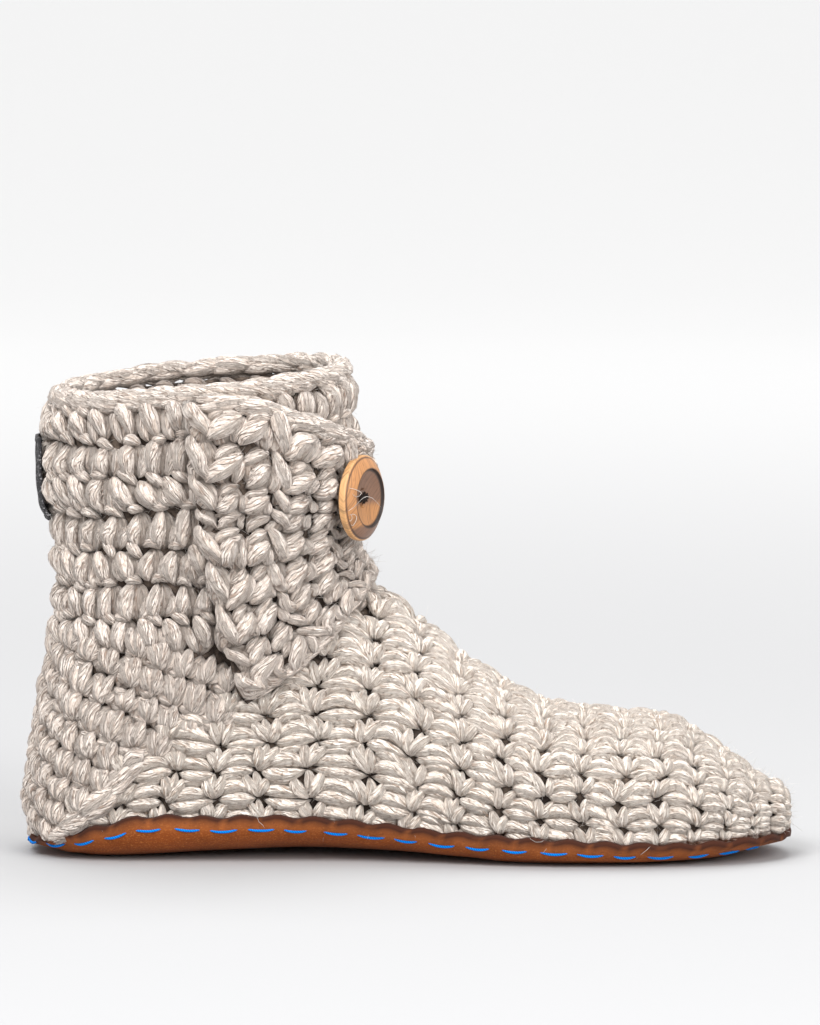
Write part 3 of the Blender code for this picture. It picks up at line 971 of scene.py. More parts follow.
@dataclass
class Yarn:
    """Strands of yarn gathered for one piece, each a closed spindle shaped from one sphere."""

    name: str
    seed: int
    sides: int = 8
    rings: int = 7
    taper: float = 0.70
    strands: list[tuple[Array, ...]] = field(default_factory=list)

    def __post_init__(self) -> None:
        """Starts the yarn's own draws."""
        self.rng = np.random.default_rng(self.seed)

    def lay(self, path: Array, up: Array, width: Any, thick: Any, tone: Any = 1.0) -> None:
        """Lays strands.

        Args:
            path: Five points for each strand.
            up: The direction out of the surface at each point.
            width: The strands' full widths.
            thick: Their full thicknesses.
            tone: Their brightness from 0 to 1.
        """
        sizes = [np.broadcast_to(np.asarray(value, float), len(path)) for value in (width, thick, tone)]
        self.strands.append((path, np.broadcast_to(up, path.shape), *sizes))

    def build(self, material: Material) -> Object:
        """Joins all strands in one piece.

        Args:
            material: The yarn's material.

        Returns:
            The piece.
        """
        bpy.ops.mesh.primitive_uv_sphere_add(segments=self.sides, ring_count=self.rings, radius=1.0)
        sphere = taken_mesh("strand")
        local = np.array([v.co for v in sphere.vertices])
        t = np.arccos(np.clip(-local[:, 2], -1.0, 1.0)) / math.pi
        angle = np.arctan2(local[:, 1], local[:, 0])
        shape = np.sin(np.pi * t) ** self.taper
        path, up, width, thick, tone = (np.concatenate(kept) for kept in zip(*self.strands))
        weights, slopes = spline_weights(t, path.shape[1])
        centre = np.einsum("vk,mkc->mvc", weights, path)
        ahead = unit(np.einsum("vk,mkc->mvc", slopes, path))
        lift = np.einsum("vk,mkc->mvc", weights, up)
        side = unit(np.cross(ahead, lift))
        lift = np.cross(side, ahead)
        across = (np.cos(angle) * shape)[:, None] * side * (width / 2)[:, None, None]
        above = (np.sin(angle) * shape)[:, None] * lift * (thick / 2)[:, None, None]
        vertices = (centre + across + above).reshape(-1, 3)
        mesh = repeated_mesh(self.name, sphere, vertices)
        length = np.linalg.norm(np.diff(path, axis=1), axis=2).sum(1)
        uv = np.array([loop.uv for loop in sphere.uv_layers.active.data])
        around = np.tile(np.mod(uv[:, 0] + 0.25, 1.0), len(path))
        loop_vertex = np.array([loop.vertex_index for loop in sphere.loops])
        start = self.rng.uniform(0.0, 50.0, len(path))
        along = start[:, None] + (length / (2.5 * MM))[:, None] * t[loop_vertex]
        layer = mesh.uv_layers.new(name="UVMap")
        layer.data.foreach_set("uv", np.stack([around, along.ravel()], -1).ravel())
        # The shade mark is each strand's own random tone, darkened towards the strand's ends: painted shade
        # where the strands meet in the holes.
        shade = mesh.attributes.new("shade", "FLOAT", "POINT")
        ends = 0.45 + 0.55 * np.clip(3.2 * np.sin(np.pi * t), 0.0, 1.0)
        shade.data.foreach_set("value", np.clip(tone[:, None] * ends, 0.0, 1.0).ravel())
        bpy.data.meshes.remove(sphere)
        return add_piece(self.name, mesh, material)


def spline_weights(t: Array, count: int) -> tuple[Array, Array]:
    """Weights of evenly spaced points on a smooth curve through them.

    Args:
        t: Places along the curve, from 0 to 1.
        count: How many points it passes through.

    Returns:
        The weights for the curve and for its direction.
    """
    place = t * (count - 1)
    i = np.minimum(place.astype(int), count - 2)
    s = place - i
    weights, slopes = np.zeros((2, len(t), count + 2))
    values = (
        (-0.5 * s**3 + s**2 - 0.5 * s, -1.5 * s**2 + 2 * s - 0.5),
        (1.5 * s**3 - 2.5 * s**2 + 1, 4.5 * s**2 - 5 * s),
        (-1.5 * s**3 + 2 * s**2 + 0.5 * s, -4.5 * s**2 + 4 * s + 0.5),
        (0.5 * s**3 - 0.5 * s**2, 1.5 * s**2 - s),
    )
    for step, (value, slope) in enumerate(values):
        weights[np.arange(len(t)), i + step] = value
        slopes[np.arange(len(t)), i + step] = slope
    for kept in (weights, slopes):
        kept[:, 1:3] += kept[:, :1] * (2.0, -1.0)
        kept[:, -3:-1] += kept[:, -1:] * (-1.0, 2.0)
    return weights[:, 1:-1].copy(), slopes[:, 1:-1].copy()


def repeated_mesh(name: str, shape: Mesh, vertices: Array) -> Mesh:
    """A mesh of many copies of a shape's faces, shaded smooth.

    Args:
        name: The mesh's name.
        shape: The mesh whose faces are copied.
        vertices: All copies' points in rows of three numbers.

    Returns:
        The mesh.
    """
    mesh = bpy.data.meshes.new(name)
    copies = len(vertices) // len(shape.vertices)
    corners = np.array([loop.vertex_index for loop in shape.loops])
    corners = (np.arange(copies)[:, None] * len(shape.vertices) + corners).ravel()
    sizes = np.tile([face.loop_total for face in shape.polygons], copies)
    mesh.vertices.add(len(vertices))
    mesh.vertices.foreach_set("co", vertices.ravel())
    mesh.loops.add(len(corners))
    mesh.loops.foreach_set("vertex_index", corners.astype(np.int32))
    mesh.polygons.add(len(sizes))
    mesh.polygons.foreach_set("loop_start", (np.cumsum(sizes) - sizes).astype(np.int32))
    mesh.update(calc_edges=True)
    mesh.validate()
    mesh.shade_smooth()
    return mesh


def taken_mesh(name: str) -> Mesh:
    """The mesh of the object just made, which is taken away.

    Args:
        name: Its new name.

    Returns:
        The mesh.
    """
    made = bpy.context.object
    mesh = made.data
    mesh.name = name
    bpy.data.objects.remove(made)
    return mesh


def points_of(mesh: Mesh) -> Array:
    """The mesh's points in rows of three numbers."""
    co = np.empty(len(mesh.vertices) * 3)
    mesh.vertices.foreach_get("co", co)
    return co.reshape(-1, 3)


@contextmanager
def edited(mesh: Mesh) -> Iterator[bmesh.types.BMesh]:
    """Opens a mesh for editing and writes it back.

    Args:
        mesh: The mesh.

    Returns:
        Its editable form.
    """
    bm = bmesh.new()
    bm.from_mesh(mesh)
    yield bm
    bm.to_mesh(mesh)
    bm.free()


def add_piece(name: str, mesh: Mesh, material: Material) -> Object:
    """Links a piece to the scene and lets it ride on the slipper's one body.

    Args:
        name: The piece's name.
        mesh: Its mesh.
        material: Its material.

    Returns:
        The piece.
    """
    piece = bpy.data.objects.new(name, mesh)
    bpy.context.scene.collection.objects.link(piece)
    mesh.materials.clear()
    mesh.materials.append(material)
    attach(piece, BODY)
    return piece


def grid_mesh(
    name: str, points: Array, around: bool = False, inside: Sequence[float] | None = None
) -> Mesh:
    """A sheet through a grid of points, from a flat grid whose points are moved to their places.

    Args:
        name: The mesh's name.
        points: The points in rows and columns.
        around: Joins the last column to the first.
        inside: A point that the faces look away from, the middle of the sheet if none is given.

    Returns:
        The mesh, with a map of its rows and columns.
    """
    m, n = points.shape[:2]
    bpy.ops.mesh.primitive_grid_add(x_subdivisions=n - 1, y_subdivisions=m - 1, size=1.0)
    mesh = taken_mesh(name)
    mesh.vertices.foreach_set("co", points.ravel())
    middle = Vector(points.mean((0, 1))) if inside is None else Vector(inside)
    with edited(mesh) as bm:
        if around:
            bmesh.ops.remove_doubles(bm, verts=bm.verts, dist=WELD)
        bm.normal_update()
        away = sum((f.calc_center_median() - middle).dot(f.normal) * f.calc_area() for f in bm.faces)
        if away < 0:
            bmesh.ops.reverse_faces(bm, faces=bm.faces)
    mesh.update()
    mesh.shade_smooth()
    return mesh


def thicken(piece: Object, wall: float, offset: float = -1.0) -> None:
    """Gives a sheet its wall and applies it.

    Args:
        piece: The sheet.
        wall: The wall's thickness.
        offset: -1 to grow against the faces' directions, 1 to grow along them.
    """
    piece.select_set(True)
    bpy.context.view_layer.objects.active = piece
    step = piece.modifiers.new("wall", "SOLIDIFY")
    step.thickness = wall
    step.offset = offset
    step.use_even_offset = False
    bpy.ops.object.modifier_apply(modifier=step.name)


@dataclass
class Crochet:
    """Lays one stitch again and again over a chart, cell by cell."""

    yarn: Yarn
    chart: Chart
    base: float = -3.7 * MM
    jitter: float = 0.055
    wander: float = 0.10

    def stitch(
        self, cells: "Cells", stitch: Stitch, keep: Callable[[Array], Array] | None = None,
        tone: float = 1.0,
    ) -> None:
        """Lays the stitch in every cell, scaled to the cell.

        Args:
            cells: The cells.
            stitch: The stitch.
            keep: Tells from the cells' middle points which of them are laid.
            tone: The stitch's brightness, lowered as painted shade on the heel and the lining.
        """
        rng = self.yarn.rng
        if keep is not None:
            cells = cells.chosen(keep(self.spots(cells, 0.5, 0.5)))
        corner, across, up = cells
        count = len(corner)
        if count == 0:
            return
        middle = self.spots(cells, 0.5, 0.5)
        level = np.linalg.norm(self.spots(cells, 1.0, 0.5) - middle, axis=1) * 2
        upright = np.linalg.norm(self.spots(cells, 0.5, 1.0) - middle, axis=1) * 2
        size = np.sqrt(level * upright / (stitch.across * stitch.up * MM * MM))
        size = np.clip(size, 0.55, 1.45) * rng.uniform(0.93, 1.10, count)
        for lobe in stitch.lobes:
            start, bow, end = (np.array(place) for place in (lobe.start, lobe.bow, lobe.end))
            ends = (start, 2 * bow - (start + end) / 2, end)
            shifts = rng.normal(0.0, self.jitter, (3, count, 2)) * np.array([0.6, 1.3, 0.6])[:, None, None]
            a, m, b = (place + shift for place, shift in zip(ends, shifts))
            cell = (
                a[:, None] * ((1 - ALONG) ** 2)[:, None] + m[:, None] * (2 * ALONG * (1 - ALONG))[:, None]
                + b[:, None] * (ALONG**2)[:, None]
            )
            place = corner[:, None] + cell[..., :1] * across[:, None] + cell[..., 1:] * up[:, None]
            place = place + self.drift(place, across, up)
            points, normals = self.chart.at(place[..., 0], place[..., 1])
            rise = (lobe.sink + (lobe.lift - lobe.sink) * BULGE**0.7) * MM
            lift = rise * (rng.uniform(0.82, 1.14, count) * np.sqrt(size))[:, None] + self.base
            points = points + normals * lift[..., None]
            bright = lobe.tone * tone * rng.uniform(0.93, 1.07, count)
            self.yarn.lay(points, normals, lobe.width * MM * size, lobe.thick * MM * size, bright)

    def spots(self, cells: "Cells", across: float, up: float) -> Array:
        """A point of the surface in each cell, at shares of the cell across and up."""
        return self.chart.at(*(cells.corner + cells.across * across + cells.up * up).T)[0]

    def drift(self, place: Array, across: Array, up: Array) -> Array:
        """How far the hand-worked rows stray from their places.

        Args:
            place: Places of the chart.
            across: The cells' sides across.
            up: The cells' sides up.

        Returns:
            Steps of the chart.
        """
        p, q = place[..., 0], place[..., 1]
        first = np.sin(19.0 * p + 7.0 * np.sin(11.0 * q)) + 0.6 * np.sin(43.0 * q + 23.0 * p + 1.0)
        second = np.sin(23.0 * q + 5.0 * np.sin(17.0 * p) + 2.0) + 0.6 * np.sin(47.0 * p - 29.0 * q)
        return self.wander * (first[..., None] * across[:, None] + second[..., None] * up[:, None]) / 1.6


# In each stitch the wide, flat strands that lie lowest (the first, and the first three of the herringbone)
# are dimmed by their tone: painted shade in the hollows between the stitches.
STAR = Stitch(15.0, 10.2, (
    Lobe((0.02, 0.45), (0.50, 0.50), (0.98, 0.45), 9.4, 3.4, 0.5, 0.0, 0.74),
    Lobe((0.03, 0.00), (0.50, 0.03), (0.97, 0.00), 4.8, 4.8, 2.4, 0.3),
    Lobe((0.04, 0.12), (0.50, 0.46), (0.96, 0.10), 5.0, 4.8, 2.5, 0.4),
    Lobe((0.00, 0.04), (-0.11, 0.50), (-0.25, 0.96), 4.2, 4.2, 2.6, 0.2),
    Lobe((0.00, 0.04), (0.13, 0.48), (0.28, 0.94), 4.2, 4.2, 2.6, 0.2),
    Lobe((0.00, 0.08), (0.01, 0.54), (0.02, 1.02), 3.6, 3.8, 2.2, 0.2, 0.97),
    Lobe((0.22, 0.68), (0.52, 0.86), (0.80, 0.66), 4.4, 4.2, 2.1, 0.3, 0.98),
))

ARCH = Stitch(13.5, 9.0, (
    Lobe((0.02, 0.40), (0.50, 0.50), (0.98, 0.40), 8.2, 3.2, 0.5, 0.0, 0.78),
    Lobe((0.03, -0.02), (0.50, 0.04), (0.97, -0.02), 4.6, 4.4, 2.2, 0.3),
    Lobe((0.04, 0.10), (0.50, 0.52), (0.96, 0.08), 4.8, 4.4, 2.4, 0.4),
    Lobe((0.00, 0.02), (-0.11, 0.46), (-0.23, 0.94), 4.0, 4.0, 2.4, 0.2),
    Lobe((0.00, 0.02), (0.12, 0.46), (0.25, 0.92), 4.0, 4.0, 2.4, 0.2),
    Lobe((0.20, 0.72), (0.50, 0.94), (0.80, 0.70), 4.2, 4.0, 2.0, 0.3, 0.98),
))

STEEP = Stitch(9.8, 11.8, (
    Lobe((0.50, -0.05), (0.50, 0.50), (0.50, 1.05), 10.0, 3.4, 0.4, 0.1, 0.60),
    Lobe((-0.14, 0.84), (0.08, 0.40), (0.40, 0.00), 3.9, 3.9, 2.0, 0.2, 0.96),
    Lobe((-0.02, 1.00), (0.36, 0.64), (0.72, 0.04), 6.3, 5.6, 3.1, 0.3),
    Lobe((0.16, 1.16), (0.60, 1.04), (0.98, 0.80), 4.0, 3.8, 2.5, 0.3, 0.98),
))

CURL = Stitch(9.8, 11.8, (
    Lobe((0.50, -0.05), (0.50, 0.50), (0.50, 1.05), 10.0, 3.4, 0.4, 0.1, 0.60),
    Lobe((0.80, 0.78), (0.92, 0.40), (0.66, 0.00), 4.2, 4.2, 2.2, 0.2, 0.96),
    Lobe((0.40, 1.02), (0.16, 0.52), (0.34, -0.02), 5.8, 5.4, 3.0, 0.2),
    Lobe((0.06, 1.00), (0.36, 1.14), (0.72, 0.96), 4.0, 3.8, 2.3, 0.3, 0.98),
))

CLUSTER = Stitch(9.8, 10.0, (
    Lobe((0.50, -0.10), (0.50, 0.50), (0.50, 1.10), 10.4, 3.8, 0.8, 0.4, 0.70),
    Lobe((-0.62, -0.12), (-0.34, -0.17), (-0.04, -0.03), 4.2, 3.9, 2.0, 0.2, 0.96),
    Lobe((-0.66, 0.09), (-0.34, 0.16), (-0.04, 0.05), 4.3, 4.0, 2.2, 0.2, 0.98),
    Lobe((0.38, 0.86), (0.27, 0.48), (0.06, 0.08), 4.2, 4.2, 2.3, 0.2, 0.96),
    Lobe((-0.54, 0.98), (-0.33, 0.50), (-0.04, 0.04), 5.6, 5.2, 3.0, 0.2),
    Lobe((0.00, 1.20), (-0.06, 0.62), (0.01, 0.04), 5.8, 5.2, 3.1, 0.2),
))

HERRINGBONE = Stitch(23.0, 11.3, (
    Lobe((0.08, -0.10), (0.12, 0.50), (0.10, 1.10), 9.0, 3.6, 0.6, 0.2, 0.64),
    Lobe((0.38, -0.10), (0.38, 0.50), (0.38, 1.10), 9.6, 3.6, 0.6, 0.2, 0.64),
    Lobe((0.80, -0.10), (0.80, 0.50), (0.80, 1.10), 9.6, 3.6, 0.6, 0.2, 0.64),
    Lobe((0.22, 0.54), (0.34, 0.82), (0.52, 1.02), 3.8, 3.9, 2.0, 0.2, 0.94),
    Lobe((0.57, 0.72), (0.54, 0.38), (0.50, 0.00), 4.2, 4.2, 2.5, 0.2, 0.97),
    Lobe((0.62, 0.52), (0.76, 0.84), (0.94, 1.04), 3.8, 3.9, 2.0, 0.2, 0.94),
    Lobe((0.97, 0.64), (0.93, 0.30), (0.90, -0.06), 4.0, 4.0, 2.3, 0.2, 0.97),
    Lobe((0.18, -0.02), (0.32, 0.44), (0.57, 0.80), 5.9, 5.5, 3.2, 0.3),
    Lobe((0.58, -0.06), (0.74, 0.38), (0.97, 0.74), 5.9, 5.5, 3.1, 0.3),
    Lobe((-0.04, 1.20), (0.09, 0.64), (0.22, 0.00), 4.8, 5.2, 3.5, 0.3),
))


class Cells(NamedTuple):
    """Cells of a chart: their corners, and their sides across and up as chart steps."""

    corner: Array
    across: Array
    up: Array

    def turned(self) -> "Cells":
        """The cells with across and up exchanged."""
        return Cells(self.corner, self.up, self.across)

    def chosen(self, picked: Array) -> "Cells":
        """The picked cells only."""
        return Cells(*(part[picked] for part in self))


def lattice(rows: Sequence[float], columns: Sequence[float], stagger: float = 0.0) -> Cells:
    """Cells between rows and columns of a chart, with the rows' direction across.

    Args:
        rows: The rows' places along p.
        columns: The columns' places along q.
        stagger: How far every second row is moved along q, as a share of a cell.

    Returns:
        The cells, whose sides across run along p and whose sides up run along q.
    """
    corners, along, across = [], [], []
    for i, (low, high) in enumerate(zip(rows, rows[1:])):
        for left, right in zip(columns, columns[1:]):
            shift = stagger * (right - left) * (i % 2)
            corners.append((low, left + shift))
            along.append((high - low, 0.0))
            across.append((0.0, right - left))
    return Cells(np.array(corners), np.array(along), np.array(across))


@dataclass
class Upper:
    """The crocheted foot, heel and cuff, with the lining behind them."""

    last: Last
    yarn: Material
    # A darker, greyer copy of the cream yarn: painted shade on the heel, cuff, heel seam and lining.
    shaded_cream_yarn: Material
    backing: Material
    wall: float = 1.6 * MM
    backing_depth: float = 3.7 * MM
    lid: float = 122.0 * MM
    foot_rounds: tuple[float, ...] = (
        -28.0, -13.0, 3.0, 19.0, 35.0, 50.5, 67.0, 84.5, 101.0, 116.5, 131.0, 144.0, 157.5, 171.0,
        184.0, 197.0, 208.0, 217.5, 225.0,
    )
    toe_rings: tuple[tuple[float, float, float, float], ...] = (
        (2.7, 1.5, 24.0, 9.0), (1.7, 0.5, 30.0, 16.0), (0.8, 0.02, 60.0, 26.0),
    )
    toe_start: float = 131.0
    bend: float = 107.0 * MM
    foot_stitches: int = 12
    foot_lean: float = 0.11
    shaft_rows: tuple[float, ...] = (71.0, 82.0, 93.0, 105.0, 117.0, 129.0, 141.0, 153.0)
    heel_rows: tuple[float, ...] = (3.5, 13.0, 22.5, 32.0, 41.5, 51.0, 60.5, 70.0, 79.5, 89.0, 98.5)
    heel_slant: float = 0.34
    heel_top: float = 71.0 * MM
    heel_line: Pairs = (
        (-40.0, -20.0), (-24.0, 5.0), (-12.0, 14.0), (0.0, 26.0), (7.0, 36.0), (30.0, 46.0), (45.0, 57.0),
        (78.0, 84.0), (107.0, 97.0), (140.0, 110.0),
    )
    plain_share: float = 0.84
    open_turn: float = 44.0
    open_rows: tuple[float, float] = (3.4, 3.0)
    seam_span: tuple[float, float] = (-27.0, 8.0)
    seam_depth: float = 2.2 * MM
    lining_start: float = 14.5
    lining_cells: tuple[int, int] = (9, 29)
    # The lining's stitches are dimmed to about a third: painted shade inside the shaft.
    lining_shade: float = 0.34
    front_gap: float = 0.8 * MM
    growth: float = 9.0
    growth_start: float = 110.0 * MM
    axis_x: float = 22.0 * MM
    collar_tilt: float = 0.095

    def foot_chart(self) -> Chart:
        """The foot in upright slices: p from the heel to the toe, q from the inner side's edge over the
        top to the outer side's.

        Returns:
            The chart.
        """
        slicer = Slicer(self.last.tree(0.0, self.lid))
        places = np.linspace(self.foot_rounds[0] * MM, self.foot_rounds[-1] * MM, 110)
        ways = np.interp(places, (0.05, 0.2), (-0.003, -0.009))
        middles = [Vector((x, y, min(0.022, 0.5 * self.top(x) + 0.004))) for x, y in zip(places, ways)]
        bend = int(np.searchsorted(places, self.bend))
        halves = []
        for sides in slicer.both(middles, [Vector((0, 0, -1))] * len(middles)).values():
            most = [side_length(sides[max(k, bend)]) if k < bend else math.inf for k in range(len(sides))]
            halves.append(slicer.spread(sides, most))
        return Chart(np.concatenate([halves[0], halves[1][:, -2::-1]], axis=1))

    def top(self, x: float) -> float:
        """The foot's height at a place between heel and toe."""
        rows = self.last.rows[: len(self.last.foot)]
        return float(np.interp(x, rows[::-1, 0], rows[::-1, 1]))

    def shaft_chart(self, low: float, high: float) -> Chart:
        """The heel and shaft in slices that are level at the heel and tilt with the collar: p upwards,
        q from the outer side's front round the back to the inner side's front.

        Args:
            low: The lowest slice's height at the back.
            high: The highest slice's height at the back.

        Returns:
            The chart.
        """
        slicer = Slicer(self.last.tree(0.0))
        heights = np.linspace(low, high, 56)
        tilts = np.interp(heights, (60 * MM, 150 * MM), (0.0, self.collar_tilt))
        reach = self.axis_x - (self.last.collar_length * 0.06 - self.last.heel_rest)
        middles = [Vector((self.axis_x, 0.0, z + tilt * reach)) for z, tilt in zip(heights, tilts)]
        sides = slicer.both(middles, [Vector((-1, 0, -tilt)).normalized() for tilt in tilts])
        full = side_length(sides[Side.INNER][int(np.searchsorted(heights, 0.1))])
        most = [
            full * (min(1.02, 0.93 + z) + self.growth * max(z - self.growth_start, 0.0)) for z in heights
        ]
        halves = {}
        for side, lines in sides.items():
            ends = [min(limit, side_length(line) - self.front_gap) for line, limit in zip(lines, most)]
            halves[side] = slicer.spread(lines, ends)
        return Chart(np.concatenate([halves[Side.OUTER][:, :0:-1], halves[Side.INNER]], axis=1))

    def build(self) -> list[Object]:
        """Builds the backing and all fields of stitches.

        Returns:
            The pieces.
        """
        pieces = [
            self.build_backing(), *self.build_foot(), *self.build_shaft(), self.build_heel_seam(),
            self.build_lining(),
        ]
        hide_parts("upper")
        return pieces

    def build_backing(self) -> Object:
        """The matted wall that the stitches stand on, open under the footbed.

        Returns:
            The piece.
        """
        u = np.linspace(0.15, self.last.collar, 160)
        turns = np.linspace(0.0, 360.0, 97)
        points = self.last.at(u[:, None], turns, -self.backing_depth)
        mesh = grid_mesh("wool_backing", points)
        with edited(mesh) as bm:
            under = []
            first, past = self.open_rows
            for face in bm.faces:
                row, column = divmod(face.index, len(turns) - 1)
                turn = abs((turns[column] + turns[column + 1]) / 2 - 180.0)
                if turn < self.open_turn and first < u[row] < len(self.last.foot) + past:
                    under.append(face)
            bmesh.ops.delete(bm, geom=under, context="FACES")
            bmesh.ops.remove_doubles(bm, verts=bm.verts, dist=WELD)
        piece = add_piece("wool_backing", mesh, self.backing)
        thicken(piece, self.wall)
        return piece

    def build_foot(self) -> list[Object]:
        """The stitches of the foot, worked in rounds: the toe half and the heel half.

        Returns:
            The pieces.
        """
        chart = self.foot_chart()
        first, last = self.foot_rounds[0], self.foot_rounds[-1]
        rounds = [(x - first) / (last - first) for x in self.foot_rounds]
        count = 2 * self.foot_stitches
        columns = [(j + 0.25) / count for j in range(count)]
        split = self.foot_rounds.index(self.toe_start)
        made = []
        for name, part, stitch, seed in (
            ("foot_crochet", rounds[: split + 1], STAR, 11), ("toe_crochet", rounds[split:], ARCH, 12),
        ):
            yarn = Yarn(name, seed)
            cells = lattice(part, columns)
            place, height = cells.corner[:, 0], 0.5 - np.abs(cells.corner[:, 1] - 0.5)
            cells.corner[:, 0] += self.foot_lean * (1.0 - place) * (height - 0.22)
            Crochet(yarn, chart, wander=0.13).stitch(cells, stitch, self.in_foot)
            if stitch is ARCH:
                self.close_toe(yarn)
            made.append(yarn.build(self.yarn))
        return made

    def heel_edge(self, x: Array) -> Array:
        """The height at which the foot's rounds meet the heel's rows."""
        line = np.array(self.heel_line) * MM
        return np.interp(x, line[:, 0], line[:, 1])

    def in_foot(self, middle: Array) -> Array:
        """Tells which points belong to the foot's field of stitches."""
        return (middle[:, 2] < self.heel_edge(middle[:, 0]) + 2.5 * MM) & (middle[:, 2] > 1.5 * MM)

    def in_shaft(self, middle: Array) -> Array:
        """Tells which points belong to the heel's and the cuff's fields of stitches."""
        return (middle[:, 2] > self.heel_edge(middle[:, 0]) - 5.5 * MM) & (middle[:, 2] > 3 * MM)

    def close_toe(self, yarn: Yarn) -> None:
        """Lays the rings of strands that start the rounds at the toe's tip.

        Args:
            yarn: The toe's yarn.
        """
        for outer, inner, step, twist in self.toe_rings:
            turns = np.arange(0.0, 360.0, step) + yarn.rng.normal(0.0, 2.0, round(360 / step))
            reach = outer + (inner - outer) * ALONG
            turn = turns[:, None] + twist * ALONG
            points, normals = self.last.with_normals(np.broadcast_to(reach, turn.shape), turn)
            rise = (0.4 + 1.9 * BULGE) * MM - 3.3 * MM
            width = 4.6 * MM if outer > 1 else 3.4 * MM
            yarn.lay(points + normals * rise[:, None], normals, width, 4.4 * MM, 0.95)

    def build_shaft(self) -> list[Object]:
        """The stitches of the heel and of the cuff over it.

        Returns:
            The pieces.
        """
        low, high = self.heel_rows[0] * MM, self.shaft_rows[-1] * MM
        chart = self.shaft_chart(low, high)
        width = side_length(chart.at(0.9, np.linspace(0.0, 1.0, 200))[0])
        made = []
        # The heel's stitches are dimmed to 0.91 of the cuff's: painted shade on the heel.
        for name, rows, stitches, stagger, tone, seed in (
            ("heel_crochet", self.heel_rows, (CLUSTER, CLUSTER), 0.12, 0.91, 13),
            ("cuff_crochet", self.shaft_rows, (STEEP, CURL), 0.35, 1.0, 14),
        ):
            count = round(width / (stitches[0].across * MM))
            columns = [j / count for j in range(count + 1)]
            levels = [(z * MM - low) / (high - low) for z in rows]
            yarn = Yarn(name, seed)
            work = Crochet(yarn, chart, jitter=0.06, wander=0.12)
            for k, (lower, upper) in enumerate(zip(levels, levels[1:])):
                shift = stagger * (k % 2) / count
                cells = lattice((lower, upper), [place + shift for place in columns]).turned()
                if rows is self.heel_rows:
                    steep = self.heel_slant * width / (high - low)
                    slant = steep * (cells.corner[:, 1] - 0.5)
                    cells.corner[:, 0] -= np.abs(slant)
                    cells.across[:, 0] = -steep / count * np.sign(slant)
                    cells = cells.chosen(cells.corner[:, 0] < (self.heel_top - low) / (high - low))
                plain = yarn.rng.uniform(0.0, 1.0, len(cells.corner)) < self.plain_share
                for stitch, picked in zip((stitches[k % 2], stitches[1 - k % 2]), (plain, ~plain)):
                    work.stitch(cells.chosen(picked), stitch, self.in_shaft, tone)
            made.append(yarn.build(self.shaded_cream_yarn))
        return made

    def build_heel_seam(self) -> Object:
        """The thick slanted chain where the foot's rounds meet the heel's rows, on both sides.

        Returns:
            The piece.
        """
        tree = self.last.tree(0.0)
        x = np.linspace(*self.seam_span, 40) * MM
        yarn = Yarn("heel_seam", 15, taper=0.6)
        for side in Side:
            hits = []
            for place, height in zip(x, self.heel_edge(x)):
                start = Vector((place, 0.0, max(height, 3 * MM)))
                hit, normal = tree.ray_cast(start, Vector((0, side.value, 0)))[:2]
                if hit is not None:
                    hits.append((hit, normal * (1 if normal.y * side.value > 0 else -1)))
            centre, outward = (np.array(part) for part in zip(*hits))
            upward = unit(np.cross(outward, np.gradient(centre, axis=0))) * side.value
            chain = EdgeChain(
                "", centre - outward * self.seam_depth, outward, upward, self.shaded_cream_yarn, Slot.WOOL,
                radius=2.8 * MM, pitch=12.0 * MM, strand=6.2 * MM,
            )
            chain.lay(yarn)
        return yarn.build(self.shaded_cream_yarn)

    def build_lining(self) -> Object:
        """The inside's stitches, from the collar down to the heel.

        Returns:
            The piece.
        """
        yarn = Yarn("lining_crochet", 16)
        u = np.linspace(self.lining_start, self.last.collar, 60)
        turns = np.linspace(0.0, 360.0, 121)
        points, normals = self.last.with_normals(u[:, None], turns)
        inward = Chart(points - normals * (self.backing_depth + self.wall), -normals)
        work = Crochet(yarn, inward, base=-0.8 * MM)
        high, wide = self.lining_cells
        rows = np.linspace(0.0, 0.985, high + 1).tolist()
        columns = np.linspace(0.0, 1.0, wide + 1).tolist()
        stitch = STEEP._replace(lobes=STEEP.lobes[1:])
        work.stitch(lattice(rows, columns, 0.4).turned(), stitch, None, self.lining_shade)
        return yarn.build(self.shaded_cream_yarn)


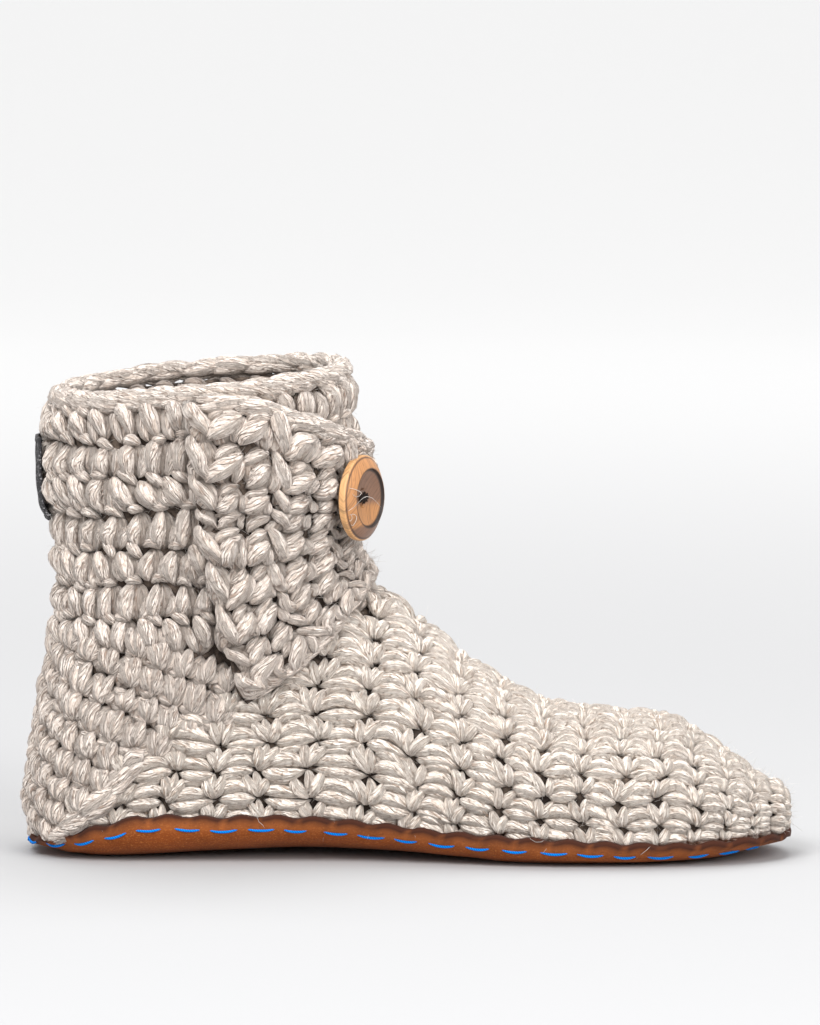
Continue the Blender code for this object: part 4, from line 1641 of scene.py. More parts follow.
@dataclass
class EdgeChain:
    """A crocheted chain along an edge: strands that cross like a braid, each with the angles at which
    it starts and ends, its reach and its brightness."""

    name: str
    centre: Array
    outward: Array
    upward: Array
    material: Material
    slot: Slot
    radius: float = 2.7 * MM
    pitch: float = 11.0 * MM
    strand: float = 4.8 * MM
    seed: int = 21
    # The strands that face down and inwards are dimmer: painted shade under and behind the chain.
    strands: tuple[tuple[float, float, float, float], ...] = (
        (-30.0, 20.0, 1.00, 1.0), (15.0, 65.0, 1.05, 1.0), (70.0, 105.0, 0.95, 1.0),
        (110.0, 165.0, 0.95, 0.97), (-80.0, -40.0, 0.95, 0.95), (225.0, 185.0, 0.85, 0.90),
    )

    def build(self) -> Object:
        """Lays the chain as a piece of its own.

        Returns:
            The piece.
        """
        yarn = Yarn(self.name, self.seed, taper=0.6)
        self.lay(yarn)
        piece = yarn.build(self.material)
        return piece

    def lay(self, yarn: Yarn) -> None:
        """Adds the chain's strands to a yarn.

        Args:
            yarn: The yarn.
        """
        run = run_of(self.centre)
        count = max(round(run[-1] / self.pitch), 1)
        closed = np.linalg.norm(self.centre[0] - self.centre[-1]) < 1 * MM
        for low, high, reach, tone in self.strands:
            start = (np.arange(count) + yarn.rng.uniform()) * run[-1] / count
            start = start + yarn.rng.normal(0.0, 1.6 * MM, count)
            along = start[:, None] + (1.6 * ALONG - 0.3) * self.pitch
            turn = np.radians(low + (high - low) * ALONG) + yarn.rng.normal(0.0, 0.22, (count, 1))
            place = np.mod(along, run[-1]) if closed else np.clip(along, 0.0, run[-1])
            centre, outward, upward = (
                read_line(values, run, place) for values in (self.centre, self.outward, self.upward)
            )
            rise = self.radius * reach * (0.50 + 0.30 * BULGE)[:, None]
            up = unit(outward * np.cos(turn)[..., None] + upward * np.sin(turn)[..., None])
            wide = self.strand * yarn.rng.uniform(0.78, 1.20, count)
            yarn.lay(centre + up * rise, up, wide, wide * 0.84, tone)


def collar_chain(last: Last, material: Material) -> EdgeChain:
    """The chain along the collar's edge.

    Args:
        last: The slipper's last.
        material: The yarn's material.

    Returns:
        The chain, ready to build.
    """
    turns = np.linspace(0.0, 360.0, 241)
    edge, normals = last.with_normals(last.collar, turns)
    up = unit(edge - last.at(last.collar - 0.3, turns))
    rise = 0.9 + 1.4 * (1.0 - np.sin(np.radians(turns)))
    centre = edge - normals * 2.9 * MM + up * rise[:, None] * MM
    return EdgeChain("collar_chain", centre, normals, up, material, Slot.WOOL)


class FlapEdge(NamedTuple):
    """A chain along an edge of the flap: the edge's and a near line's place up the flap, the chain's
    share of the full thickness, and how far it lies in and below the edge in millimetres."""

    name: str
    edge: float
    near: float
    thin: float
    sunk: float
    lowered: float


class FlapRow(NamedTuple):
    """A line across the flap: its share of the root's turn, and its low and high edges as shares of
    the ankle's height on the shaft's front."""

    reach: float
    low: float
    high: float


@dataclass
class Flap:
    """The second layer, worked sideways from its root and wrapped over the ankle's front."""

    last: Last
    yarn: Material
    backing: Material
    lay_gap: float = 0.75 * MM
    thick: float = 5.7 * MM
    rows: tuple[FlapRow, ...] = (
        FlapRow(1.00, 0.790, 1.365),
        FlapRow(0.80, 0.776, 1.345),
        FlapRow(0.60, 0.771, 1.290),
        FlapRow(0.35, 0.776, 1.230),
        FlapRow(0.08, 0.782, 1.180),
        FlapRow(-0.11, 0.792, 1.155),
        FlapRow(-0.24, 0.840, 1.110),
    )
    root: Pairs = (
        (0.00, 65.0), (0.09, 62.0), (0.18, 63.0), (0.35, 75.0), (0.52, 88.0), (1.00, 92.0),
    )
    edges: tuple[FlapEdge, ...] = (
        FlapEdge("flap_high_chain", 1.0, 0.97, 1.0, 2.6, 0.0),
        FlapEdge("flap_low_chain", 0.0, 0.03, 0.6, 4.3, 1.8),
    )
    cell: tuple[float, float] = (22.5 * MM, 11.3 * MM)
    pad_gap: float = 0.4 * MM
    pad_wall: float = 1.6 * MM
    across: int = 60
    up: int = 60

    def places(self) -> tuple[Array, Array]:
        """The flap's grid, from its root on and from its low edge up.

        Returns:
            Places and turns on the last.
        """
        table, root = np.array(self.rows), np.array(self.root)
        at = np.linspace(0.0, len(self.rows) - 1, self.across + 1)
        knots = np.arange(len(self.rows))
        reach, low, high = (np.interp(at, knots, table[:, k]) for k in range(3))
        share = np.linspace(0.0, 1.0, self.up + 1)
        start = np.array([self.last.station_of_front(self.last.ankle_height * value) for value in low])
        end = np.array([self.last.station_of_front(self.last.ankle_height * value) for value in high])
        u = start[:, None] + (end - start)[:, None] * share
        turn = reach[:, None] * np.interp(share, root[:, 0], root[:, 1])
        return u, turn

    def chart(self, out: float) -> Chart:
        """The flap's surface: p from its root to its free end, q from its low edge to its high edge."""
        u, turn = self.places()
        points, normals = self.last.with_normals(u, turn)
        return Chart(points + normals * out, normals)

    def build(self) -> list[Object]:
        """Builds the flap's backing, stitches and edge chains.

        Returns:
            The pieces.
        """
        face = self.chart(self.lay_gap + self.thick)
        yarn = Yarn("flap_crochet", 31)
        work = Crochet(yarn, face, jitter=0.04, wander=0.05)
        length = side_length(face.at(np.linspace(0, 1, 80), 0.55)[0])
        height = side_length(face.at(0.1, np.linspace(0, 1, 80))[0])
        columns = np.linspace(0.0, 1.0, round(length / self.cell[0]) + 1).tolist()
        rows = np.linspace(0.0, 1.0, round(height / self.cell[1]) + 1).tolist()
        work.stitch(lattice(columns, rows), HERRINGBONE)
        stitches = yarn.build(self.yarn)
        inner = self.chart(self.lay_gap + self.pad_gap)
        pad = add_piece("flap_backing", grid_mesh("flap_backing", inner.points), self.backing)
        thicken(pad, self.pad_wall, 1.0)
        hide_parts("ankle_flap")
        pieces = [pad, stitches, *self.chains(face)]
        return pieces

    def chains(self, face: Chart) -> list[Object]:
        """Builds the chains along the flap's high and low edges.

        Args:
            face: The flap's outer face.

        Returns:
            The pieces.
        """
        p = np.linspace(0.0, 1.0, 90)
        made = []
        for edge in self.edges:
            line, normals = face.at(p, edge.edge)
            up = unit(line - face.at(p, edge.near)[0])
            centre = line - normals * edge.sunk * MM - up * edge.lowered * MM
            made.append(EdgeChain(
                edge.name, centre, normals, up, self.yarn, Slot.FLAP_WOOL, seed=33,
                radius=2.8 * MM * edge.thin, strand=4.8 * MM * edge.thin,
            ).build())
        return made


# Sole


@dataclass
class Sole:
    """The suede turned up round the wool, its running stitches, and the footbed inside."""

    last: Last
    suede: Material
    thread: Material
    felt: Material
    gap: float = 0.4 * MM
    wall: float = 2.3 * MM
    rim_height: float = 16.2 * MM
    rim: Pairs = (
        (-0.100, 0.22), (0.000, 0.24), (0.030, 0.36), (0.085, 0.66), (0.150, 0.97), (0.205, 1.00),
        (0.245, 0.94), (0.310, 0.98), (0.400, 0.89), (0.490, 0.75), (0.545, 0.66), (0.620, 0.60),
        (0.700, 0.54), (0.780, 0.45), (0.860, 0.41), (0.940, 0.45), (1.000, 0.43), (1.100, 0.43),
    )
    spine_start: float = 6.0 * MM
    spine_end: float = 182.0 * MM
    around: int = 320
    down: int = 20
    pitch: float = 12.4 * MM
    stitch_length: float = 10.4 * MM
    stitch_depth: float = 3.9 * MM
    thread_width: float = 0.95 * MM
    pucker: float = 0.50 * MM
    bed_rows: tuple[float, float] = (2.7, 3.6)
    bed_turns: tuple[float, float] = (6.0, 48.0)
    bed_wall: float = 1.3 * MM

    def rim_at(self, x: float) -> float:
        """The height of the suede's cut edge at a place between heel and toe."""
        table = np.array(self.rim)
        along = table[:, 0] * self.last.foot_length - self.last.heel_rest
        return float(np.interp(x, along, table[:, 1] * self.rim_height))

    def spine_y(self, x: float) -> float:
        """How far the spine lies to the side at a place between its ends."""
        share = (x - self.spine_start) / (self.spine_end - self.spine_start)
        return self.last.ball_width * -0.1 * share

    def spine(self) -> list[tuple[Vector, Vector]]:
        """Points inside the sole and level directions out of them, once around the slipper.

        Returns:
            The points and directions, from the inner side's waist towards the toe.
        """
        straight = np.linspace(self.spine_start, self.spine_end, 90)
        arc = np.linspace(0.0, math.pi, 71)[1:-1]
        stops = [
            *((x, -math.pi / 2) for x in straight),
            *((self.spine_end, -math.pi / 2 + angle) for angle in arc),
            *((x, math.pi / 2) for x in straight[::-1]),
            *((self.spine_start, math.pi / 2 + angle) for angle in arc),
        ]
        return [
            (Vector((x, self.spine_y(x), 0.0)), Vector((math.cos(angle), math.sin(angle), 0.0)))
            for x, angle in stops
        ]

    def edge(self, tree: BVHTree, lower: float = 0.0) -> Array:
        """The line on the suede at a distance below its cut edge, once around and evenly spread.

        Args:
            tree: The suede's outer face.
            lower: How far below the edge the line runs.

        Returns:
            The line's points, the last one equal to the first.
        """
        points = []
        for origin, direction in self.spine():
            height = self.rim_at(origin.x)
            for _ in range(3):
                start = Vector((origin.x, origin.y, height - lower))
                hit = tree.ray_cast(start, direction)[0]
                height = self.rim_at(hit.x)
            points.append(tuple(hit))
        points.append(points[0])
        line = np.array(points)
        run = run_of(line)
        return read_line(line, run, np.linspace(0.0, run[-1], self.around + 1))

    def build(self) -> list[Object]:
        """Builds the suede, its stitches and the footbed.

        Returns:
            The pieces.
        """
        tree = self.last.tree(self.gap + self.wall)
        rim = self.edge(tree)
        suede = self.build_suede(tree, rim)
        thread = self.build_thread(tree, suede)
        footbed = self.build_footbed()
        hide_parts("outsole")
        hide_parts("insole")
        return [suede, thread, footbed]

    def build_suede(self, tree: BVHTree, rim: Array) -> Object:
        """The turned-up suede with its puckers.

        Args:
            tree: The suede's outer face.
            rim: Its cut edge.

        Returns:
            The piece.
        """
        run = run_of(rim)
        grid = []
        for k in range(self.around + 1):
            edge = rim[k % self.around]
            x = min(max(edge[0], self.spine_start), self.spine_end)
            spine = np.array([x, self.spine_y(x), edge[2]])
            wave = math.cos(2 * math.pi * run[k % self.around] / self.pitch)
            line = []
            for j in range(self.down + 1):
                share = j / self.down
                fall = math.sin(share * math.pi / 2) ** 0.9 * math.pi / 2
                level = unit(edge - spine)
                ray = level * math.cos(fall) + np.array([0, 0, -1.0]) * math.sin(fall)
                hit = tree.ray_cast(Vector(spine), Vector(ray))[0]
                point = np.array(hit if hit is not None else spine)
                below = edge[2] - point[2]
                near = math.exp(-((below / (2.2 * MM)) ** 2))
                seam = math.exp(-(((below - self.stitch_depth) / (1.1 * MM)) ** 2))
                point = point + level * (self.pucker * (0.5 * wave * near - 1.1 * seam))
                point[2] = max(point[2] + 0.65 * MM * wave * near, 0.0)
                line.append(point)
            grid.append(line)
        mesh = grid_mesh("suede_sole", np.array(grid).transpose(1, 0, 2)[::-1], around=True)
        piece = add_piece("suede_sole", mesh, self.suede)
        thicken(piece, self.wall - 0.3 * MM)
        for vertex in mesh.vertices:
            vertex.co.z = abs(vertex.co.z)
        self.mark_edges(mesh, rim)
        return piece

    def mark_edges(self, mesh: Mesh, rim: Array) -> None:
        """Writes on the suede's points how near they are to its stitches and its cut edge.

        Args:
            mesh: The suede.
            rim: Its cut edge.
        """
        co = points_of(mesh)
        below = np.empty(len(co))
        for start in range(0, len(co), 2000):
            part = co[start:start + 2000]
            flat = np.linalg.norm(part[:, None, :2] - rim[None, :, :2], axis=2)
            below[start:start + 2000] = rim[flat.argmin(1), 2] - part[:, 2]
        band = 1.0 - np.clip((below - 3.0 * MM) / (1.2 * MM), 0.0, 1.0)
        edge = 1.0 - np.clip((below - 0.5 * MM) / (0.7 * MM), 0.0, 1.0)
        for name, values in (("band", band), ("edge", edge)):
            mesh.attributes.new(name, "FLOAT", "POINT").data.foreach_set("value", values)

    def build_thread(self, tree: BVHTree, suede: Object) -> Object:
        """The blue running stitches below the cut edge, pulled into the suede at their ends.

        Args:
            tree: The suede's smooth outer face.
            suede: The finished suede.

        Returns:
            The piece.
        """
        line = self.edge(tree, self.stitch_depth)
        run = run_of(line)
        yarn = Yarn("running_stitches", 41, sides=8, rings=8, taper=0.32)
        count = round(run[-1] / self.pitch)
        start = (np.arange(count) + 0.5) * run[-1] / count + yarn.rng.normal(0.0, 0.5 * MM, count)
        reach = self.stitch_length * yarn.rng.uniform(0.86, 1.08, count)
        along = np.mod(start[:, None] + (ALONG - 0.5) * reach[:, None], run[-1])
        path = read_line(line, run, along)
        path[..., 2] -= 0.7 * MM * BULGE
        faces = [tuple(face.vertices) for face in suede.data.polygons]
        skin = BVHTree.FromPolygons([vertex.co for vertex in suede.data.vertices], faces)
        rise = (-0.35 + 0.65 * BULGE**0.5) * MM
        outward = np.zeros(path.shape)
        for k, j in np.ndindex(path.shape[:2]):
            nearest, outward[k, j] = skin.find_nearest(Vector(path[k, j]))[:2]
            path[k, j] = nearest + Vector(outward[k, j]) * float(rise[j])
        yarn.lay(path, outward, self.thread_width, self.thread_width)
        return yarn.build(self.thread)

    def build_footbed(self) -> Object:
        """The felt footbed, crowned a little under the heel and the ball.

        Returns:
            The piece.
        """
        first, last = self.bed_rows[0], len(self.last.foot) + self.bed_rows[1]
        least, more = self.bed_turns
        place = -np.cos(np.linspace(0.0, math.pi, 60))
        u = (first + last) / 2 + place * (last - first) / 2
        half = least + more * (1 - np.abs(place) ** 5) ** 0.5
        side = np.linspace(-1.0, 1.0, 24)
        turn = 180.0 + half[:, None] * side
        edge = np.minimum(1 - np.abs(place)[:, None] ** 3, 1 - np.abs(side) ** 3)
        out = -1.9 * MM - 2.9 * MM * np.clip(edge * 3, 0, 1) ** 0.5
        points = self.last.at(np.broadcast_to(u[:, None], turn.shape), turn, out)
        mesh = grid_mesh("felt_footbed", points, inside=(0.08, 0.0, -1.0))
        piece = add_piece("felt_footbed", mesh, self.felt)
        thicken(piece, self.bed_wall)
        return piece


# Button, tab and loose fibres


class Seat(NamedTuple):
    """Where the button sits: the middle of its back, the way that it faces, and its level and
    upright directions."""

    middle: Array
    face: Array
    level: Array
    upright: Array

    def at(self, level: Array, upright: Array, out: Array) -> Array:
        """Points from their distances along the three directions."""
        flat = self.middle + self.level * level[:, None] + self.upright * upright[:, None]
        return flat + self.face * out[:, None]


@dataclass
class Button:
    """The turned wooden button, its dished bowl and the dark thread through its two holes."""

    wood: Material
    thread: Material
    hair: Material
    facing: float = 27.0
    width: float = 29.0 * MM
    edge: float = 2.4 * MM
    rise: float = 2.5 * MM
    solid: float = 3.7 * MM
    proud: float = 0.9 * MM
    bowl: float = 19.6 * MM
    bowl_depth: float = 3.3 * MM
    step: float = 0.7 * MM
    hole: float = 2.2 * MM
    spacing: float = 5.0 * MM
    segments: int = 96
    threads: Pairs = (
        (3.3, 1.5), (4.0, -0.4), (3.0, -1.6), (0.9, 2.3), (-0.6, 2.2), (3.8, 0.6),
    )
    hairs: tuple[Pairs, ...] = (
        ((-13.2, 4.5), (-11.0, 3.9), (-8.0, 2.5), (-10.6, 1.3), (-12.4, 2.7)),
        ((-13.8, -3.5), (-11.2, -1.8), (-6.1, 0.8), (0.1, 0.0), (7.3, -4.1)),
        ((-11.4, -8.0), (-10.4, -8.4), (-9.8, -5.9), (-11.2, -4.5), (-13.2, -4.8)),
        ((-12.6, -4.4), (-11.8, -5.2), (-11.6, -6.2), (-12.0, -6.8), (-12.6, -6.6)),
    )

    def seat(self) -> Seat:
        """Where the button sits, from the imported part's own box.

        Returns:
            The seat.
        """
        low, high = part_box("button")
        angle = math.radians(self.facing)
        face = np.array([math.cos(angle), -math.sin(angle), 0.0])
        level, upright = np.array([math.sin(angle), math.cos(angle), 0.0]), np.array([0.0, 0.0, 1.0])
        middle = (np.array(low) + np.array(high)) / 2
        return Seat(middle - face * (self.solid / 2 - self.proud), face, level, upright)

    def profile(self) -> list[tuple[float, float]]:
        """The turned line from the back's middle round the edge to the bowl's middle.

        Returns:
            Radii and heights.
        """
        outer, bowl, top = self.width / 2, self.bowl / 2, self.edge + self.rise
        round_off = 0.35 * MM
        back = [(outer * 0.5, 0.0), (outer - round_off, 0.0), (outer, round_off)]
        rim = [
            (outer, self.edge - round_off), (outer - round_off, self.edge),
            (bowl + 0.6 * MM, top - 0.08 * MM), (bowl + 0.15 * MM, top),
        ]
        dish = [
            (bowl * share, top - self.step - (self.bowl_depth - self.step) * (1 - share**2))
            for share in (0.985, 0.93, 0.8, 0.65, 0.5, 0.36, 0.26, 0.17, 0.09)
        ]
        return back + rim + dish

    def build(self) -> list[Object]:
        """Turns the wood, drills it and threads it.

        Returns:
            The pieces.
        """
        seat = self.seat()
        radius, height = self.profile()[0]
        bpy.ops.mesh.primitive_circle_add(vertices=self.segments, radius=radius, fill_type="NGON")
        bpy.ops.object.mode_set(mode="EDIT")
        bpy.ops.mesh.select_all(action="SELECT")
        for wide, high in self.profile()[1:]:
            bpy.ops.mesh.extrude_region()
            bpy.ops.transform.resize(value=(wide / radius, wide / radius, 1.0))
            bpy.ops.transform.translate(value=(0.0, 0.0, high - height))
            radius, height = wide, high
        bpy.ops.object.mode_set(mode="OBJECT")
        mesh = taken_mesh("wooden_button")
        self.sink_holes(mesh)
        local = points_of(mesh)
        self.map_grain(mesh, local)
        mesh.vertices.foreach_set("co", seat.at(*local.T).ravel())
        with edited(mesh) as bm:
            bmesh.ops.recalc_face_normals(bm, faces=bm.faces)
        mesh.shade_smooth()
        mesh.set_sharp_from_angle(angle=math.radians(34))
        wood = add_piece("wooden_button", mesh, self.wood)
        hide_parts("button")
        return [wood, self.build_thread(seat), self.build_hairs(seat)]

    def sink_holes(self, mesh: Mesh) -> None:
        """Sinks the two thread holes in the bowl's middle.

        Args:
            mesh: The turned wood, in its own place.
        """
        for vertex in mesh.vertices:
            x, y, z = vertex.co
            if z > self.edge * 0.3 and math.hypot(x, y) < self.bowl * 0.15:
                nearest = min(math.hypot(x, y - sign * self.spacing / 2) for sign in (-1, 1))
                vertex.co.z -= 1.2 * MM * math.exp(-((nearest / (self.hole * 0.55)) ** 4))

    def map_grain(self, mesh: Mesh, local: Array) -> None:
        """Writes the wood's two maps: across and along the grain, and the share of the radius.

        Args:
            mesh: The button.
            local: Its points in its own place.
        """
        corners = np.array([loop.vertex_index for loop in mesh.loops])
        lean = math.radians(62.0)
        along = local[:, 0] * math.cos(lean) + local[:, 1] * math.sin(lean)
        across = local[:, 1] * math.cos(lean) - local[:, 0] * math.sin(lean) + local[:, 2] * 0.4
        radius = np.hypot(local[:, 0], local[:, 1]) / (self.width / 2)
        for name, pair in (("grain", (across, along)), ("disc", (radius, np.zeros(len(local))))):
            layer = mesh.uv_layers.new(name=name)
            layer.data.foreach_set("uv", np.stack([pair[0][corners], pair[1][corners]], -1).ravel())

    def build_thread(self, seat: Seat) -> Object:
        """The strands of dark thread between the two holes.

        Args:
            seat: Where the button sits.

        Returns:
            The piece.
        """
        yarn = Yarn("button_thread", 51, sides=6, rings=8, taper=0.4)
        floor = self.edge + self.rise - self.bowl_depth
        for wide, high in self.threads:
            out = floor + (0.9 * BULGE**0.6 + 0.5 * (2 * ALONG - 1) ** 2) * MM
            path = seat.at(wide * MM * (2 * ALONG - 1), high * MM * (2 * ALONG - 1), out)
            yarn.lay(path[None], seat.face, 1.0 * MM, 0.8 * MM)
        piece = yarn.build(self.thread)
        return piece

    def build_hairs(self, seat: Seat) -> Object:
        """The wool hairs that have strayed over the button.

        Args:
            seat: Where the button sits.

        Returns:
            The piece.
        """
        yarn = Yarn("button_hairs", 52, sides=4, rings=12, taper=0.3)
        for hair in self.hairs:
            flat = np.array(hair) * MM
            radius = np.hypot(flat[:, 0], flat[:, 1])
            share = np.clip((self.width / 2 - radius) / (self.width / 2 - self.bowl / 2), 0.0, 1.0)
            over = self.edge + self.rise * share + 0.6 * MM
            yarn.lay(seat.at(*flat.T, over)[None], seat.face, 0.17 * MM, 0.17 * MM)
        piece = yarn.build(self.hair)
        return piece


@dataclass
class BackTab:
    """The bare woven tab on the back of the cuff."""

    last: Last
    tape: Material
    width: float = 27.0 * MM
    height: float = 27.0 * MM
    above_ankle: float = 11.0 * MM
    lay_gap: float = 1.3 * MM
    thick: float = 1.3 * MM
    ripple: float = 0.35 * MM

    def build(self) -> list[Object]:
        """Lays the tape on the wool, with its hems a little thicker.

        Returns:
            The piece, alone in a list.
        """
        height = self.last.ankle_height + self.above_ankle
        start, end = (self.last.station_of_back(height + sign * self.height / 2) for sign in (-1, 1))
        span = 10.0
        middle = self.last.station_of_back(height)
        side = np.linalg.norm(self.last.at(middle, 180.0 - span) - self.last.at(middle, 180.0))
        half = span * self.width / 2 / side
        m, n = 40, 36
        s, t = np.linspace(0, 1, m), np.linspace(-1, 1, n)
        u = np.broadcast_to((start + (end - start) * s)[:, None], (m, n))
        turn = np.broadcast_to(180.0 + half * t, (m, n))
        ripple = self.ripple * np.sin(9 * s)[:, None] * np.cos(5 * t)
        hem = self.ripple * (np.abs(s - 0.5) > 0.43)[:, None]
        points = self.last.at(u, turn, self.lay_gap + 0.3 * MM + ripple + hem)
        mesh = grid_mesh("woven_tab", points)
        layer = mesh.uv_layers.active
        uv = np.empty(len(layer.data) * 2)
        layer.data.foreach_get("uv", uv)
        uv = uv.reshape(-1, 2) * np.array([self.width, self.height])
        layer.data.foreach_set("uv", uv.ravel())
        piece = add_piece("woven_tab", mesh, self.tape)
        thicken(piece, self.thick - 0.3 * MM, 1.0)
        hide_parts("back_tab")
        return [piece]


@dataclass
class LooseFibres:
    """Fine hairs that stand out of the wool all over."""

    last: Last
    flap: Flap
    material: Material
    count: int = 7600
    flap_count: int = 1500
    shortest: float = 2.0 * MM
    longest: float = 6.5 * MM
    thick: float = 0.07 * MM
    lowest: float = 10.0 * MM
    stray_width: float = 0.18 * MM
    strays: tuple[tuple[float, Pairs], ...] = (
        (7.6, ((37.9, 155.0), (36.9, 153.2), (35.8, 151.0), (34.8, 148.2), (34.1, 145.2))),
        (3.6, ((139.3, 12.5), (140.6, 10.6), (142.2, 9.6), (144.0, 9.7), (145.6, 10.6))),
        (3.9, ((146.2, 7.7), (144.8, 5.6), (142.7, 3.9), (140.6, 3.9), (138.9, 5.3))),
        (3.8, ((181.0, 8.4), (179.6, 6.8), (178.4, 5.6), (177.0, 4.0), (175.6, 2.2))),
        (3.6, ((47.5, 18.4), (48.4, 16.6), (49.0, 15.0), (50.4, 13.6), (51.0, 12.0))),
    )

    def build(self) -> list[Object]:
        """Grows the hairs.

        Returns:
            The piece, alone in a list.
        """
        yarn = Yarn("loose_fibres", 61, sides=3, rings=4, taper=0.3)
        rng = yarn.rng
        u, turn = rng.uniform(0.3, self.last.collar, self.count), rng.uniform(0.0, 360.0, self.count)
        points, normals = self.last.with_normals(u, turn)
        kept = points[:, 2] > self.lowest
        self.grow(yarn, points[kept], normals[kept])
        face = self.flap.chart(self.flap.lay_gap + self.flap.thick)
        points, normals = face.at(rng.uniform(0, 1, self.flap_count), rng.uniform(0, 1, self.flap_count))
        self.grow(yarn, points, normals)
        self.lay_strays(yarn)
        piece = yarn.build(self.material)
        return [piece]

    def lay_strays(self, yarn: Yarn) -> None:
        """Lays the few long hairs that have strayed over the inner side.

        Args:
            yarn: The hairs.
        """
        tree = self.last.tree(0.0)
        for out, line in self.strays:
            path = []
            for x, z in line:
                hit = tree.ray_cast(Vector((x * MM, -0.2, z * MM)), Vector((0, 1, 0)))[0]
                y = path[-1][1] if hit is None else hit.y - out * MM
                path.append((x * MM, y, z * MM))
            outward = np.array([[(0.0, -1.0, 0.0)] * len(path)])
            yarn.lay(np.array([path]), outward, self.stray_width, self.stray_width)

    def grow(self, yarn: Yarn, points: Array, normals: Array) -> None:
        """Adds a curved hair at each point.

        Args:
            yarn: The strands that the hairs are added to.
            points: The hairs' roots.
            normals: The directions out of the wool there.
        """
        rng = yarn.rng
        count = len(points)
        length = self.shortest + (self.longest - self.shortest) * rng.uniform(0, 1, count) ** 2.5
        lean = unit(rng.normal(0, 1, (count, 3)))
        ahead = unit(lean + normals * rng.uniform(-0.1, 0.6, (count, 1)))
        bend = unit(rng.normal(0, 1, (count, 3))) * rng.uniform(0.1, 0.55, (count, 1))
        path = (
            points[:, None] - normals[:, None] * 1.0 * MM
            + ahead[:, None] * (ALONG * length[:, None])[..., None]
            + bend[:, None] * (ALONG**2 * length[:, None])[..., None]
        )
        yarn.lay(path, normals[:, None], self.thick, self.thick)


# Studio


@dataclass
class Studio:
    """The pale seamless floor, the soft lights and the camera."""

    floor: Material
    aim: Vector = field(default_factory=lambda: Vector((0.100, 0.0, 0.116)))
    distance: float = 2.2
    elevation: float = 5.5
    lens: float = 225.9
    sky: float = 0.76
    breadth: float = 24.0
    depth: float = 14.0
    before: float = 5.0
    curve: float = 9.0
    curve_start: float = 2.5

    def build(self) -> None:
        """Builds the backdrop, lights and camera."""
        self.build_backdrop()
        self.build_lights()
        self.build_camera()

    def build_backdrop(self) -> None:
        """A floor that curves up far behind the slipper."""
        bpy.ops.mesh.primitive_grid_add(x_subdivisions=8, y_subdivisions=48, size=1.0)
        made = bpy.context.object
        made.name = "studio_floor"
        for vertex in made.data.vertices:
            across, back = vertex.co.x * self.breadth, (vertex.co.y + 0.5) * self.depth - self.before
            rise = max(back - self.curve_start, 0.0)
            vertex.co = (across, back - rise * min(rise / self.curve, 0.5), rise**2 / self.curve)
        made.data.materials.append(self.floor)
        made.data.shade_smooth()

    def build_lights(self) -> None:
        """A white sky and three broad soft lamps."""
        world = bpy.data.worlds.new("studio_sky")
        bpy.context.scene.world = world
        world.use_nodes = True
        sky = world.node_tree.nodes["Background"]
        sky.inputs["Color"].default_value = (1.0, 1.0, 1.0, 1.0)
        sky.inputs["Strength"].default_value = self.sky
        for name, place, size, power in (
            ("key_lamp", (-0.8, -1.5, 1.9), 1.1, 42.0),
            ("fill_lamp", (1.3, -1.9, 1.3), 1.4, 44.0),
            ("top_lamp", (0.1, 0.6, 2.2), 1.6, 34.0),
        ):
            lamp = bpy.data.lights.new(name, "AREA")
            lamp.energy = power
            lamp.size = size
            self.hold(name, lamp, Vector(place))

    def hold(self, name: str, what: bpy.types.ID, place: Vector) -> Object:
        """Holds a lamp or camera at a place, turned to what the camera aims at.

        Args:
            name: The object's name.
            what: The lamp or camera.
            place: Where it stands.

        Returns:
            The object.
        """
        held = bpy.data.objects.new(name, what)
        held.location = place
        held.rotation_mode = "QUATERNION"
        held.rotation_quaternion = (self.aim - place).to_track_quat("-Z", "Y")
        bpy.context.scene.collection.objects.link(held)
        return held

    def build_camera(self) -> None:
        """A long lens near the floor, square to the slipper's inner side."""
        camera = bpy.data.cameras.new("camera")
        camera.lens = self.lens
        camera.sensor_width = 36.0
        camera.clip_end = 100.0
        angle = math.radians(self.elevation)
        place = self.aim + self.distance * Vector((0.0, -math.cos(angle), math.sin(angle)))
        bpy.context.scene.camera = self.hold("camera", camera, place)
        bpy.context.scene.view_settings.view_transform = "Standard"


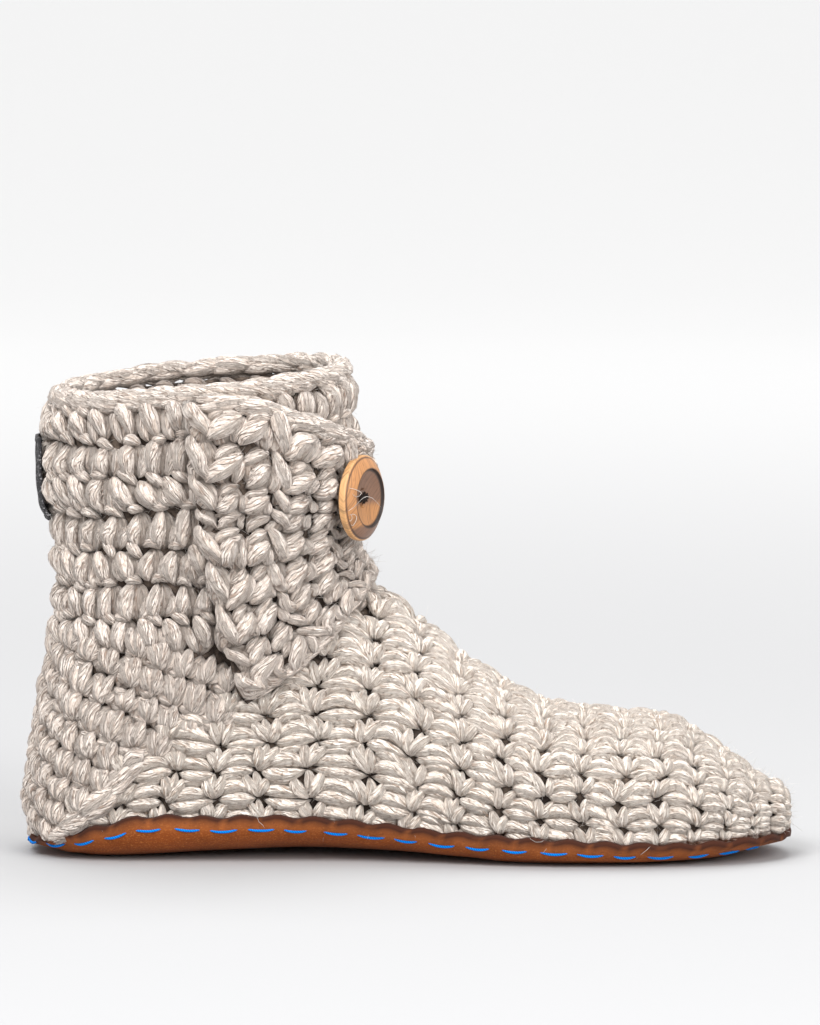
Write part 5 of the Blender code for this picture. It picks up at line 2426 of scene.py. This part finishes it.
def main() -> None:
    """Dresses the slipper, sub-assembly by sub-assembly."""
    logging.basicConfig(level=logging.INFO, format="%(name)s: %(message)s")
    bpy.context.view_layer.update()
    bpy.ops.object.select_all(action="DESELECT")
    last = Last()
    cream = YarnFinish("cream_yarn", (0.95, 0.88, 0.80), (0.88, 0.78, 0.68), (0.31, 0.18, 0.105)).material()
    # A darker, greyer copy of the cream yarn: painted shade on the heel, cuff, heel seam, lining, collar
    # chain and flap.
    shaded_cream = YarnFinish("shaded_cream_yarn", (0.90, 0.815, 0.74), (0.79, 0.68, 0.59), (0.27, 0.165, 0.11)).material()
    # The backing yarn is painted far darker than the cream: painted shade between the stitches and under the
    # flap.
    matted = BackingFinish("shaded_backing_yarn", (0.19, 0.145, 0.115), (0.040, 0.030, 0.025)).material()
    hair = HairFinish("loose_fibre", (0.80, 0.75, 0.70)).material()
    suede = SuedeFinish(
        "brushed_suede", (0.33, 0.080, 0.015), (0.70, 0.215, 0.055), (0.055, 0.018, 0.010)
    ).material()
    blue = ThreadFinish("blue_thread", (0.0, 0.24, 0.88), 3.0).material()
    dark = ThreadFinish("dark_thread", (0.035, 0.025, 0.022), 2.0).material()
    wood = WoodFinish(
        "oiled_wood", (0.66, 0.36, 0.15), (0.50, 0.23, 0.085), (0.22, 0.115, 0.070), (0.018, 0.010, 0.008)
    ).material()
    tape = TapeFinish("woven_tape", (0.035, 0.033, 0.036), (0.012, 0.011, 0.012)).material()
    felt = FeltFinish("wool_felt", (0.52, 0.45, 0.38)).material()
    flap = Flap(last, shaded_cream, matted)
    pieces = [
        *Upper(last, cream, shaded_cream, matted).build(),
        collar_chain(last, shaded_cream).build(),
        *flap.build(),
        *Sole(last, suede, blue, felt).build(),
        *Button(wood, dark, hair).build(),
        *BackTab(last, tape).build(),
        *LooseFibres(last, flap, hair).build(),
    ]
    Studio(FloorFinish("seamless_floor", (0.44, 0.44, 0.445), (0.63, 0.63, 0.63)).material()).build()
    total = 0
    for piece in pieces:
        triangles = sum(len(face.vertices) - 2 for face in piece.data.polygons)
        total += triangles
        log.info("%s: %d triangles", piece.name, triangles)
    log.info("all pieces: %d triangles", total)


if __name__ == "__main__":
    main()
